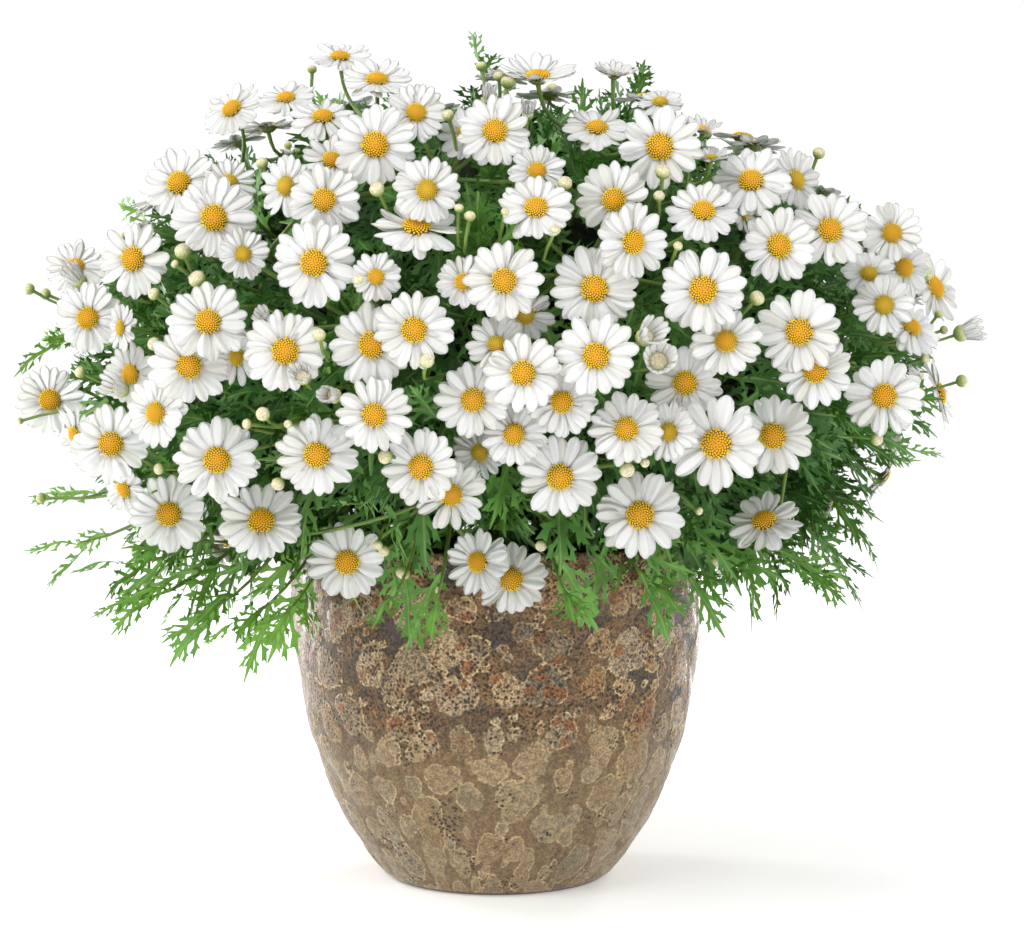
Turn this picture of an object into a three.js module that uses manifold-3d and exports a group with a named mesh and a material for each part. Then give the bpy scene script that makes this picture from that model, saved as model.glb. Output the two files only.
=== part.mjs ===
// A potted marguerite daisy: a round bush of white blooms over cut leaves, in a bellied stoneware pot.
// Millimetres, +Z up. The origin is the centre of the pot's foot, on the surface that it stands on.

import * as THREE from "three";
import { mergeVertices } from "three/addons/utils/BufferGeometryUtils.js";
import Module from "manifold-3d";

const wasm = await Module();
wasm.setup();

const { Vector2, Vector3 } = THREE;
const up = new Vector3(0, 0, 1);
const turn = 2 * Math.PI;
const goldenAngle = Math.PI * (3 - Math.sqrt(5));
const degree = Math.PI / 180;
const mergeDistance = 1e-4;

// Pot: the side swells from the foot and stands nearly upright at the rim
const potHeight = 214;
const footFlat = 67;
const footRadius = 72.4;
const footCorner = 2;
const bellySwell = 53.6;
const bellyPower = 3.1;
const rimFlare = 10;
const potWall = 9;
const potFloor = 14;
const rimRound = 3;
const potSides = 28;
const outerStations = [12, 30, 56, 92, 140];
const innerStations = [195, 120, 46];
const hammerDepth = 1.2;

// Soil and woody stem, with the gaps that neighbouring pieces keep
const gap = 0.35;
const crownGap = 0.45;
const soilClearance = 0.6;
const soilTop = innerStations[0];
const soilCrown = 4;
const soilShoulder = 70;
const shoulderShare = 0.7;
const stemRadius = 11;
const stemFoot = 140;
const forkHeight = 206;
const limbCount = 5;
const limbRadius = 5.5;
const limbSides = 5;
const trunkSides = 7;
const limbReach = 95;
const limbRise = 48;
const limbElbow = 0.35;
const limbTurn = 0.4;
const forkRound = 10;

// Bush: bloom centres lie on a dome, and the leafy crown is a smaller dome inside it
const domeCentre = new Vector3(0, 0, 330);
const domeRadius = 285;
const domeUp = 205;
const domeDown = 155;
const crownShare = 0.74;
const crownRough = 0.04;
const roughWaves = [11, 12, 13];
const tuftHeights = [16, 34];
const tuftLean = 16;
const tuftClear = 1.1;

// Where the reference view stands, in its own 1024 by 945 frame
const viewEye = new Vector3(9.5, -1150, 261);
const viewFocal = 1751;
const viewMiddle = new Vector2(512, 472.5);

// Blooms seen in the reference view, those in front first.
// Each row: across and down to the disc's centre and width, in its pixels, then lift and turn in degrees.
const seenBlooms = [
  [340, 57, 62, 65, 0], [538, 77, 82, 72, 0], [375, 145, 84, 10, 0], [377, 80, 70, 58, 0],
  [323, 117, 68, 55, 0], [286, 98, 60, 60, -15], [232, 109, 66, 40, -35], [416, 113, 64, 25, 5],
  [495, 131, 76, 15, 0], [466, 133, 60, 30, -10], [324, 200, 74, 5, 0], [332, 160, 62, 35, 0],
  [614, 75, 48, 75, 20], [660, 147, 86, 8, 0], [660, 102, 48, 55, 0], [597, 128, 72, 55, 5],
  [703, 130, 44, 70, 20], [711, 158, 40, 70, 0], [536, 208, 75, 32, 0], [537, 171, 58, 20, 0],
  [214, 218, 84, 8, 0], [179, 183, 76, 25, -15], [286, 186, 64, 10, -35], [229, 182, 56, 35, 0],
  [427, 190, 68, 10, -5], [417, 227, 90, 54, 0], [633, 242, 76, 0, 25], [614, 200, 76, 5, -8],
  [703, 211, 74, 35, 8], [751, 181, 80, 35, 0], [796, 180, 64, 15, 45], [779, 246, 78, 10, 15],
  [743, 213, 50, 20, 60], [830, 230, 78, 15, 15], [892, 233, 62, 5, 5], [133, 259, 78, 5, -25],
  [75, 267, 62, 35, -10], [314, 263, 86, 3, -5], [243, 254, 52, 5, 0], [376, 277, 52, 5, 0],
  [504, 281, 80, 3, 0], [463, 282, 54, 5, -10], [594, 289, 88, 12, 8], [703, 290, 88, 3, 0],
  [884, 305, 62, 5, 10], [911, 327, 66, 35, 40], [935, 288, 74, 20, 55], [869, 274, 56, 30, 10],
  [904, 268, 64, 10, 30], [88, 318, 70, 3, -12], [189, 366, 80, 0, 0], [208, 322, 80, 15, 0],
  [285, 351, 84, 0, 0], [237, 357, 60, 0, -40], [372, 345, 86, 0, 0], [414, 330, 80, 3, 5],
  [523, 373, 80, 0, -5], [497, 345, 62, 20, 0], [525, 315, 64, -5, 15], [596, 356, 84, 0, 0],
  [562, 402, 72, 0, -10], [473, 400, 78, -5, 0], [726, 341, 72, 0, 0], [815, 371, 76, 0, 0],
  [799, 332, 86, 3, 0], [884, 396, 78, 0, 3], [50, 400, 68, 0, -5], [111, 444, 78, 0, -8],
  [156, 413, 70, 0, -35], [131, 374, 66, 0, -40], [76, 436, 66, -20, -60], [121, 328, 50, 0, -60],
  [374, 415, 76, 0, 0], [317, 455, 82, 0, 0], [217, 460, 84, -3, 0], [169, 514, 78, 0, -8],
  [124, 489, 58, -20, -50], [261, 521, 84, 25, 0], [347, 562, 78, -3, -3], [451, 495, 72, 0, 0],
  [421, 467, 80, 0, -15], [514, 434, 70, 0, 0], [479, 453, 60, 10, 25], [560, 477, 86, -10, 0],
  [511, 579, 75, 0, 0], [478, 562, 68, 0, -30], [716, 444, 95, 0, 0], [626, 429, 74, 5, 0],
  [669, 432, 60, 0, -25], [685, 383, 80, 5, 0], [640, 515, 88, 0, 0], [773, 436, 84, 0, -3],
  [764, 521, 76, 40, -15],
];

// Blooms on the far side follow a spiral over the dome
const farSpiral = 122;
const farLowest = 205;
const farWidths = [33, 46];
const farLift = 0.3;
const farWander = 0.45;

// A bloom that would touch one placed before it moves inwards, step by step
const layerStep = 8;
const layerMost = 6;
const layerClear = 5;
const sideClear = 1;
const discRings = [[8, 0.55], [16, 1]];

// One bloom, in shares of its radius
const petals = 7;
const petalHalfAngle = 0.26;
const discShare = 0.34;
const discRise = 0.2;
const cupShare = 0.15;
const cupDepth = 0.22;
const tipHeights = [-0.06, 0.04];
const stalkRadius = 1.7;
const stalkStraight = 10;
const bendBelow = 0.6;

// Sprays: each shoot tip stands on the crown and carries the blooms nearest to it
const twigSpiral = 52;
const twigLowest = -0.7;
const twigHeight = 30;
const twigSunk = 20;
const twigRadius = 7.5;
const stalkFoot = 14;

// Leaves: rib and outline as shares of the length, one side of the blade
const ribStations = [0.33, 0.57, 0.8];
const leafSide = [
  [0.24, 0.03], [0.53, 0.21], [0.48, 0.045], [0.81, 0.17], [0.71, 0.035],
];
const ribHalfThickness = 1;
const lobeDrop = 0.12;
const leafLean = 1.1;
const leafSwing = 0.8;
const leafTurnStep = 0.4;
const leafSags = [0.1, 0.25];
const droopBelow = -0.2;
const droopLean = -0.45;
const droopSag = 0.3;
const leafSunk = 14;
const leafSpiral = 50;
const leafLowest = -0.8;
const leafLengths = [68, 92];
const leafTries = 9;

// Fronds seen at the edge of the bush: foot and tip across and down, in the view's pixels, then depth
const seenFronds = [
  [108, 482, 34, 520, 0], [98, 512, 56, 580, 0], [160, 556, 104, 570, -90], [156, 586, 114, 618, -100],
  [182, 560, 174, 612, -90], [218, 575, 206, 650, -110], [258, 588, 246, 648, -130],
  [282, 570, 306, 652, -150], [396, 566, 398, 620, -192], [432, 572, 446, 622, -192],
  [560, 566, 568, 616, -192], [640, 560, 664, 604, -188], [678, 552, 716, 606, -160],
  [732, 530, 722, 580, -120], [766, 535, 786, 584, -110], [790, 535, 812, 606, -90],
  [790, 500, 844, 546, -60], [794, 468, 846, 508, -40], [838, 425, 858, 484, -20],
  [868, 438, 888, 498, 0], [876, 432, 916, 466, 20], [902, 366, 960, 380, 30],
  [140, 232, 118, 198, 40], [486, 90, 478, 52, 40], [636, 118, 626, 84, 30], [66, 334, 34, 352, 10],
];
const frondSag = 0.1;
const frondForward = 12;

// Buds seen in the reference view: across, down and width in its pixels
const seenBuds = [
  [183, 251, 18], [197, 279, 17], [75, 276, 20], [377, 189, 16], [508, 82, 16], [565, 183, 15],
  [663, 172, 16], [926, 273, 15], [757, 298, 16], [969, 331, 22], [877, 439, 15], [116, 387, 22],
  [301, 375, 20], [331, 395, 20], [263, 414, 15], [359, 280, 14], [145, 597, 15], [278, 484, 15],
  [385, 457, 15], [403, 573, 15], [438, 590, 18], [342, 606, 15], [490, 614, 15], [716, 561, 16],
  [627, 470, 16], [649, 334, 24], [659, 360, 26], [427, 361, 15], [41, 498, 14], [962, 381, 14],
];
const budSides = 4;
const budLength = 1.15;

// A repeatable number from 0 to 1 for one thing and one purpose, by a linear congruential rule
function chance(thing, purpose) {
  const range = 2 ** 32;
  let state = (thing * 7919 + purpose * 104729 + 12345) % range;
  for (let i = 0; i < 3; i += 1) {
    state = (state * 1664525 + 1013904223) % range;
  }
  return state / range;
}

function between(limits, share) {
  return limits[0] + (limits[1] - limits[0]) * share;
}

// A solid from points and triangles, turned to face outwards
function solidOf(points, faces) {
  const build = (list) =>
    new wasm.Manifold(
      new wasm.Mesh({
        numProp: 3,
        vertProperties: new Float32Array(points.flatMap((p) => [p.x, p.y, p.z])),
        triVerts: new Uint32Array(list.flat()),
      }),
    );
  const made = build(faces);
  return made.volume() < 0 ? build(faces.map(([a, b, c]) => [a, c, b])) : made;
}

// A solid from a three.js geometry, its shared vertices merged and its flat triangles left out
function solidOfGeometry(geometry) {
  geometry.deleteAttribute("normal");
  geometry.deleteAttribute("uv");
  const merged = mergeVertices(geometry, mergeDistance);
  const at = merged.getAttribute("position");
  const points = Array.from({ length: at.count }, (_, i) => new Vector3().fromBufferAttribute(at, i));
  const faces = [];
  for (let i = 0; i < merged.index.count; i += 3) {
    const face = [0, 1, 2].map((k) => merged.index.getX(i + k));
    if (new Set(face).size === 3) faces.push(face);
  }
  return solidOf(points, faces);
}

// A round piece from its half outline, with z along the axis
function turned(outline, sides, shape = (p) => p) {
  const geometry = new THREE.LatheGeometry(outline, sides).rotateX(Math.PI / 2);
  const at = geometry.getAttribute("position");
  for (let i = 0; i < at.count; i += 1) {
    const p = shape(new Vector3().fromBufferAttribute(at, i));
    at.setXYZ(i, p.x, p.y, p.z);
  }
  return solidOfGeometry(geometry);
}

// Two directions square to an axis
function squareTo(axis) {
  const aside = Math.abs(axis.z) < 0.95 ? up : new Vector3(1, 0, 0);
  const side = new Vector3().crossVectors(aside, axis).normalize();
  return { side, over: new Vector3().crossVectors(axis, side) };
}

// A thin body: one outline, inner points above and below it, and an edge that may have a thickness
function shell({ outline, lift, above, facesAbove, below, facesBelow, edge = 0 }) {
  const n = outline.length;
  const raised = outline.map((p) => p.clone().addScaledVector(lift, edge));
  const lowered = outline.map((p) => p.clone().addScaledVector(lift, -edge));
  const points = edge ? [...raised, ...above, ...lowered, ...below] : [...outline, ...above, ...below];
  const lowerOutline = edge ? n + above.length : 0;
  const lowerInner = edge ? lowerOutline : above.length;
  const faces = [...facesAbove];
  for (const face of facesBelow) {
    faces.push(face.map((i) => (i < n ? i + lowerOutline : i + lowerInner)));
  }
  for (let i = 0; edge && i < n; i += 1) {
    const next = (i + 1) % n;
    faces.push([i, i + lowerOutline, next + lowerOutline], [i, next + lowerOutline, next]);
  }
  return solidOf(points, faces);
}

// Pot and soil

function potOuter(z) {
  const share = Math.min(Math.max(z / potHeight, 0), 1);
  return footRadius + bellySwell * (1 - (1 - share) ** bellyPower) + rimFlare * share;
}

function potInner(z) {
  return potOuter(z) - potWall;
}

// The hand-formed side is slightly hammered
function hammered(p) {
  const radius = Math.hypot(p.x, p.y);
  if (p.z < footCorner * 2 || radius < potOuter(p.z) - potWall / 2) return p;
  const angle = Math.atan2(p.y, p.x);
  const wave = Math.sin(7 * angle + 0.05 * p.z) * Math.sin(0.07 * p.z + 2 * Math.sin(3 * angle));
  const grown = 1 + (hammerDepth * wave) / radius;
  return new Vector3(p.x * grown, p.y * grown, p.z);
}

function makePot() {
  const outline = [new Vector2(0, 0), new Vector2(footFlat, 0), new Vector2(footRadius, footCorner)];
  for (const z of [...outerStations, potHeight - rimRound]) {
    outline.push(new Vector2(potOuter(z), z));
  }
  const rim = potOuter(potHeight);
  outline.push(new Vector2(rim - rimRound, potHeight), new Vector2(rim - potWall + rimRound, potHeight));
  for (const z of [potHeight - rimRound, ...innerStations, potFloor]) {
    outline.push(new Vector2(potInner(z), z));
  }
  outline.push(new Vector2(0, potFloor));
  return turned(outline, potSides, hammered);
}

function makeSoil() {
  const hole = stemRadius + gap;
  const outline = [new Vector2(0, potFloor + gap)];
  for (const z of [potFloor + gap, ...innerStations.toReversed()]) {
    outline.push(new Vector2(potInner(z) - soilClearance, z));
  }
  outline.push(new Vector2(soilShoulder, soilTop + soilCrown * shoulderShare));
  outline.push(new Vector2(hole, soilTop + soilCrown));
  outline.push(new Vector2(hole, stemFoot - gap), new Vector2(0, stemFoot - gap));
  return turned(outline, potSides);
}

// Bush surfaces

// A point of the dome at a share of its size, along a direction in the dome's own scale
function domeAt(direction, share) {
  const height = direction.z > 0 ? domeUp : domeDown;
  const size = new Vector3(domeRadius, domeRadius, height).multiplyScalar(share);
  return direction.clone().multiply(size).add(domeCentre);
}

function domeScaled(point) {
  const p = point.clone().sub(domeCentre);
  return p.divide(new Vector3(domeRadius, domeRadius, p.z > 0 ? domeUp : domeDown));
}

function domeNormal(direction) {
  const height = direction.z > 0 ? domeUp : domeDown;
  return direction.clone().divide(new Vector3(domeRadius, domeRadius, height)).normalize();
}

// The direction of one step of a spiral that covers a ball evenly
function spiral(step, steps, lowest = -1) {
  const z = 1 - ((1 - lowest) * (step + 0.5)) / steps;
  const flat = Math.sqrt(1 - z * z);
  const angle = step * goldenAngle;
  return new Vector3(flat * Math.cos(angle), flat * Math.sin(angle), z);
}

// The leafy crown swells and sinks in slow waves
function crownAt({ x, y, z }) {
  const [a, b, c] = roughWaves;
  const rough = Math.sin(a * x + b * y + 1) + Math.sin(b * y - c * z + 2) * Math.cos(a * z + c * x);
  return domeAt(new Vector3(x, y, z), crownShare * (1 + crownRough * rough));
}

// The crown's surface as triangles, pushed outwards by some distance
function crownFaces(grow) {
  const at = new THREE.IcosahedronGeometry(1, 3).getAttribute("position");
  const corners = Array.from({ length: at.count }, (_, i) => {
    const direction = new Vector3().fromBufferAttribute(at, i).normalize();
    return crownAt(direction).addScaledVector(domeNormal(direction), grow);
  });
  return Array.from({ length: at.count / 3 }, (_, i) => corners.slice(3 * i, 3 * i + 3));
}

// The outer point of the tuft of young leaves that grows from one triangle of the crown
function tuftTip(corners, index) {
  const middle = corners[0].clone().add(corners[1]).add(corners[2]).divideScalar(3);
  const outward = domeNormal(domeScaled(middle).normalize());
  const { side, over } = squareTo(outward);
  return middle
    .addScaledVector(outward, between(tuftHeights, chance(index, 41)))
    .addScaledVector(side, tuftLean * (chance(index, 42) - 0.5))
    .addScaledVector(over, tuftLean * chance(index, 43));
}

// A closed body from loose triangles
function solidOfTriangles(triangles) {
  const geometry = new THREE.BufferGeometry().setFromPoints(triangles.flat());
  return solidOfGeometry(geometry);
}

function makeCrown(grow) {
  return solidOfTriangles(crownFaces(grow));
}

// The crown with a tuft on each of its triangles where there is room for one
function makeTuftedCrown(isClear) {
  const triangles = crownFaces(0).flatMap(([a, b, c], index) => {
    const tip = tuftTip([a, b, c], index);
    const sides = [[a, b, tip], [b, c, tip], [c, a, tip]];
    const middle = a.clone().add(b).add(c).add(tip).divideScalar(4);
    const grown = [...sides, [a, c, b]].map((face) =>
      face.map((p) => p.clone().sub(middle).multiplyScalar(tuftClear).add(middle)),
    );
    return isClear(solidOfTriangles(grown)) ? sides : [[a, b, c]];
  });
  return solidOfTriangles(triangles);
}

// The reference view's line of sight through one of its pixels, one unit deep
function sightLine(across, down) {
  return new Vector3((across - viewMiddle.x) / viewFocal, 1, (viewMiddle.y - down) / viewFocal);
}

// Where a line of sight meets the dome, or passes nearest to it
function meetDome(line) {
  let met;
  for (const height of [domeUp, domeDown]) {
    const size = new Vector3(domeRadius, domeRadius, height);
    const from = viewEye.clone().sub(domeCentre).divide(size);
    const along = line.clone().divide(size);
    const a = along.dot(along);
    const b = from.dot(along);
    const c = from.dot(from) - 1;
    const depth = (-b - Math.sqrt(Math.max(b * b - a * c, 0))) / a;
    met = { depth, point: viewEye.clone().addScaledVector(line, depth) };
    if (met.point.z > domeCentre.z === (height === domeUp)) break;
  }
  return met;
}

// Placing the blooms

function seenBloom([across, down, width, lift, aside], index) {
  const line = sightLine(across, down);
  const { depth, point } = meetDome(line);
  const back = line.clone().normalize().negate();
  const right = new Vector3(1, 0, 0).addScaledVector(back, -back.x).normalize();
  const above = new Vector3().crossVectors(back, right);
  const facing = back
    .clone()
    .multiplyScalar(Math.cos(lift * degree) * Math.cos(aside * degree))
    .addScaledVector(right, Math.cos(lift * degree) * Math.sin(aside * degree))
    .addScaledVector(above, Math.sin(lift * degree));
  const radius = (width / 2 / viewFocal) * depth;
  return { index, centre: point, facing, radius, inward: line.clone().normalize() };
}

function farBloom(step, index) {
  const direction = spiral(step, farSpiral);
  const outward = domeNormal(direction);
  const facing = outward.clone().addScaledVector(up, farLift);
  facing.x += farWander * (chance(step, 1) - 0.5);
  facing.y += farWander * (chance(step, 2) - 0.5);
  facing.z += farWander * (chance(step, 3) - 0.5);
  const centre = domeAt(direction, 1);
  const radius = between(farWidths, Math.sqrt(chance(step, 4))) / 2;
  return { index, centre, facing: facing.normalize(), radius, inward: outward.clone().negate() };
}

function discPoints({ centre, facing, radius }) {
  const { side, over } = squareTo(facing);
  const points = [centre];
  for (const [count, share] of discRings) {
    for (let i = 0; i < count; i += 1) {
      const angle = (turn * i) / count;
      const p = centre.clone().addScaledVector(side, radius * share * Math.cos(angle));
      points.push(p.addScaledVector(over, radius * share * Math.sin(angle)));
    }
  }
  return points;
}

// Whether points of one bloom come close to the flat disc of another
function nears(points, { centre, facing, radius }) {
  return points.some((p) => {
    const away = p.clone().sub(centre);
    const height = away.dot(facing);
    const across = Math.sqrt(Math.max(away.lengthSq() - height * height, 0));
    return Math.abs(height) < layerClear && across < radius + sideClear;
  });
}

function touching(a, b) {
  const reach = a.radius + b.radius + layerClear;
  if (a.centre.distanceToSquared(b.centre) > reach * reach) return false;
  return nears(discPoints(a), b) || nears(discPoints(b), a);
}

function placeBlooms() {
  const blooms = [];
  for (const row of seenBlooms) {
    const bloom = seenBloom(row, blooms.length);
    for (let layer = 0; layer < layerMost; layer += 1) {
      if (!blooms.some((other) => touching(bloom, other))) break;
      bloom.centre.addScaledVector(bloom.inward, layerStep);
    }
    blooms.push(bloom);
  }
  for (let step = 0; step < farSpiral; step += 1) {
    const bloom = farBloom(step, blooms.length);
    const hidden = bloom.inward.dot(viewEye.clone().sub(bloom.centre)) > 0;
    const low = bloom.centre.z < farLowest;
    if (!hidden || low || blooms.some((other) => touching(bloom, other))) continue;
    blooms.push(bloom);
  }
  return blooms;
}

// One bloom with its stalk down to the top of its twig

function stalkPath({ centre, facing, radius }, twigTop) {
  const cup = centre.clone().addScaledVector(facing, -cupDepth * radius);
  const straight = cup.clone().sub(twigTop).normalize().dot(facing) > bendBelow;
  const bend = cup.clone().addScaledVector(facing, -stalkStraight);
  return straight ? [cup, twigTop] : [cup, bend, twigTop];
}

function makeBloom(bloom, twigTop) {
  const { index, centre, facing, radius } = bloom;
  const { side, over } = squareTo(facing);
  const roll = turn * chance(index, 11);
  const droop = between(tipHeights, chance(index, 12));
  const at = (reach, angle, height) =>
    centre
      .clone()
      .addScaledVector(side, reach * Math.cos(angle + roll))
      .addScaledVector(over, reach * Math.sin(angle + roll))
      .addScaledVector(facing, height);
  const step = turn / petals;
  const outline = [];
  const above = [at(0, 0, discRise * radius)];
  const facesAbove = [];
  const first = petals * 3;
  for (let i = 0; i < petals; i += 1) {
    const middle = i * step;
    outline.push(at(discShare * radius, middle - step / 2, 0));
    outline.push(at(radius, middle - petalHalfAngle, droop * radius));
    outline.push(at(radius, middle + petalHalfAngle, droop * radius));
    const foot = 3 * i;
    const nextFoot = (foot + 3) % first;
    facesAbove.push([first, foot, nextFoot], [foot, foot + 1, foot + 2], [foot, foot + 2, nextFoot]);
  }
  const path = stalkPath(bloom, twigTop);
  const corners = [4, 11, 18].map((corner) => outline[corner].clone().sub(centre));
  const below = [];
  path.forEach((p, i) => {
    const before = i ? path[i - 1].clone().sub(p).normalize() : facing;
    const after = i && i < path.length - 1 ? p.clone().sub(path[i + 1]).normalize() : before;
    const along = before.clone().add(after).normalize();
    const wide = i ? stalkRadius : cupShare * radius;
    for (const corner of corners) {
      const out = corner.clone().projectOnPlane(facing).normalize();
      out.applyQuaternion(new THREE.Quaternion().setFromUnitVectors(facing, along));
      below.push(p.clone().addScaledVector(out, wide));
    }
  });
  const facesBelow = [];
  for (let k = 0; k < first; k += 1) {
    const corner = Math.floor(k / petals);
    const next = (k + 1) % first;
    facesBelow.push([next, k, first + corner]);
    if (k % petals === petals - 1) facesBelow.push([next, first + corner, first + ((corner + 1) % 3)]);
  }
  for (let ring = 0; ring < path.length - 1; ring += 1) {
    for (let corner = 0; corner < 3; corner += 1) {
      const a = first + 3 * ring + corner;
      const b = first + 3 * ring + ((corner + 1) % 3);
      facesBelow.push([b, a, a + 3], [b, a + 3, b + 3]);
    }
  }
  const end = first + 3 * (path.length - 1);
  facesBelow.push([end + 2, end + 1, end]);
  return shell({ outline, lift: facing, above, facesAbove, below, facesBelow });
}

// Sprays

// Whether the stalk reaches the twig without passing through the bloom's own petals
function stalkClears({ centre, facing, radius }, path) {
  const [last, twigTop] = path.slice(-2);
  const start = last.clone().sub(centre).dot(facing);
  const finish = twigTop.clone().sub(centre).dot(facing);
  if (finish < start / 2) return true;
  const through = last.clone().lerp(twigTop, start / (start - finish));
  return through.distanceTo(centre) > radius + layerClear;
}

// Each bloom grows from the nearest twig that its stalk can reach
function placeTwigs(blooms) {
  const twigs = [];
  for (let step = 0; step < twigSpiral; step += 1) {
    const direction = spiral(step, twigSpiral, twigLowest);
    const outward = domeNormal(direction);
    const foot = crownAt(direction);
    const top = foot.clone().addScaledVector(outward, stalkFoot);
    twigs.push({ direction, outward, foot, top, blooms: [] });
  }
  for (const bloom of blooms) {
    const place = domeScaled(bloom.centre).normalize();
    const near = twigs.filter((twig) => stalkClears(bloom, stalkPath(bloom, twig.top)));
    const nearest = near.reduce((a, b) => (a.direction.dot(place) > b.direction.dot(place) ? a : b));
    nearest.blooms.push(bloom);
  }
  return twigs.filter((twig) => twig.blooms.length);
}

function makeTwig({ foot, outward }) {
  const half = (twigHeight + twigSunk) / 2;
  const middle = foot.clone().addScaledVector(outward, half - twigSunk);
  const geometry = new THREE.OctahedronGeometry(1).scale(twigRadius, twigRadius, half);
  geometry.applyQuaternion(new THREE.Quaternion().setFromUnitVectors(up, outward));
  return solidOfGeometry(geometry.translate(middle.x, middle.y, middle.z));
}

function largest(solid) {
  return solid.decompose().reduce((a, b) => (a.volume() > b.volume() ? a : b));
}

function makeSpray(twig, crownCutter) {
  let spray = makeTwig(twig).subtract(crownCutter);
  for (const bloom of twig.blooms) {
    spray = spray.add(makeBloom(bloom, twig.top));
  }
  return largest(spray);
}

// Leaves, fronds and buds

// A leaf's rib at a share of its length: it leaves its foot straight and sags towards the tip
function ribPoint({ foot, along, length, sag }, share) {
  return foot
    .clone()
    .addScaledVector(along, length * share)
    .addScaledVector(up, -sag * length * share * share);
}

function makeLeaf(leaf, grow = 0) {
  const side = new Vector3().crossVectors(leaf.along, up).normalize();
  const lift = new Vector3().crossVectors(side, leaf.along).normalize();
  const at = ([share, wide]) => {
    const reach = wide * leaf.length + Math.sign(wide) * grow;
    return ribPoint(leaf, share)
      .addScaledVector(side, reach)
      .addScaledVector(lift, -lobeDrop * Math.abs(reach));
  };
  const mirrored = leafSide.map(([share, wide]) => [share, -wide]).reverse();
  const outline = [[0, 0], ...leafSide, [1, 0], ...mirrored].map(at);
  const half = ribHalfThickness + grow;
  const above = ribStations.map((share) => ribPoint(leaf, share).addScaledVector(lift, half));
  const below = ribStations.map((share) => ribPoint(leaf, share).addScaledVector(lift, -half));
  const oneSide = [
    [0, 1, 12], [1, 2, 12], [2, 3, 12], [3, 13, 12], [3, 4, 13], [4, 5, 13], [5, 14, 13], [5, 6, 14],
  ];
  const otherSide = oneSide.map((face) => face.map((i) => (i > 0 && i < 12 ? 12 - i : i)).reverse());
  const facesAbove = [...oneSide, ...otherSide];
  const facesBelow = facesAbove.map(([a, b, c]) => [a, c, b]);
  return shell({ outline, lift, above, facesAbove, below, facesBelow, edge: grow });
}

// Leaves of the crown lean upwards along it, and those low down droop, so that their faces look outwards.
// Each further attempt turns the leaf a step more, to one side and the other.
function crownLeaf(step, attempt) {
  const direction = spiral(step, leafSpiral, leafLowest);
  const outward = domeNormal(direction);
  const { side, over } = squareTo(outward);
  const retried = Math.ceil(attempt / 2) * (attempt % 2 ? leafTurnStep : -leafTurnStep);
  const swing = (chance(step, 21) - 0.5) * leafSwing + retried;
  const droops = direction.z < droopBelow;
  const along = outward
    .clone()
    .addScaledVector(side, leafLean * Math.sin(swing))
    .addScaledVector(over, (droops ? droopLean : leafLean) * Math.cos(swing))
    .normalize();
  const foot = crownAt(direction).addScaledVector(outward, -leafSunk);
  const length = between(leafLengths, chance(step, 22)) + leafSunk;
  return { foot, along, length, sag: droops ? droopSag : between(leafSags, chance(step, 23)) };
}

function seenFrond([footAcross, footDown, tipAcross, tipDown, depth]) {
  const deep = depth - viewEye.y;
  const foot = viewEye.clone().addScaledVector(sightLine(footAcross, footDown), deep);
  const tip = viewEye.clone().addScaledVector(sightLine(tipAcross, tipDown), deep - frondForward);
  const place = domeScaled(foot).normalize();
  const root = crownAt(place).addScaledVector(domeNormal(place), -leafSunk);
  const along = tip.clone().sub(root);
  const length = along.length();
  along.addScaledVector(up, frondSag * length).normalize();
  return { foot: root, along, length, sag: frondSag };
}

function seenBud([across, down, width]) {
  const line = sightLine(across, down);
  const { depth, point } = meetDome(line);
  const radius = (width / 2 / viewFocal) * depth;
  const place = domeScaled(point).normalize();
  const foot = crownAt(place).addScaledVector(domeNormal(place), -leafSunk);
  return { centre: point, radius, foot };
}

function makeBud({ centre, radius, foot }, grow = 0) {
  const facing = centre.clone().sub(foot).normalize();
  const { side, over } = squareTo(facing);
  const ring = (middle, wide, sides) =>
    Array.from({ length: sides }, (_, i) =>
      middle
        .clone()
        .addScaledVector(side, wide * Math.cos((turn * i) / sides))
        .addScaledVector(over, wide * Math.sin((turn * i) / sides)),
    );
  const reach = radius * budLength + grow;
  const tip = centre.clone().addScaledVector(facing, reach);
  const neck = centre.clone().addScaledVector(facing, -reach);
  const points = [
    tip,
    ...ring(centre, radius + grow, budSides),
    ...ring(neck, stalkRadius + grow, budSides),
    ...ring(foot, stalkRadius + grow, budSides),
    foot,
  ];
  const faces = [];
  for (let i = 0; i < budSides; i += 1) {
    const next = (i + 1) % budSides;
    faces.push([0, 1 + i, 1 + next], [points.length - 1, 1 + 2 * budSides + next, 1 + 2 * budSides + i]);
    for (const start of [1, 1 + budSides]) {
      faces.push([start + i, start + budSides + i, start + next]);
      faces.push([start + next, start + budSides + i, start + budSides + next]);
    }
  }
  return solidOf(points, faces);
}

function makeFoliage(obstacles) {
  const isClear = (solid) => {
    const box = solid.boundingBox();
    return !obstacles.some((other) => boxesMeet(box, other.box) && !solid.intersect(other.solid).isEmpty());
  };
  let foliage = makeTuftedCrown(isClear);
  for (const bud of seenBuds.map(seenBud)) {
    if (isClear(makeBud(bud, gap))) foliage = foliage.add(makeBud(bud));
  }
  for (const frond of seenFronds.map(seenFrond)) {
    if (isClear(makeLeaf(frond, gap))) foliage = foliage.add(makeLeaf(frond));
  }
  for (let step = 0; step < leafSpiral; step += 1) {
    for (let attempt = 0; attempt < leafTries; attempt += 1) {
      const leaf = crownLeaf(step, attempt);
      if (!isClear(makeLeaf(leaf, gap))) continue;
      foliage = foliage.add(makeLeaf(leaf));
      break;
    }
  }
  return largest(foliage);
}

function boxesMeet(a, b) {
  return [0, 1, 2].every((k) => a.min[k] < b.max[k] && b.min[k] < a.max[k]);
}

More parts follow.
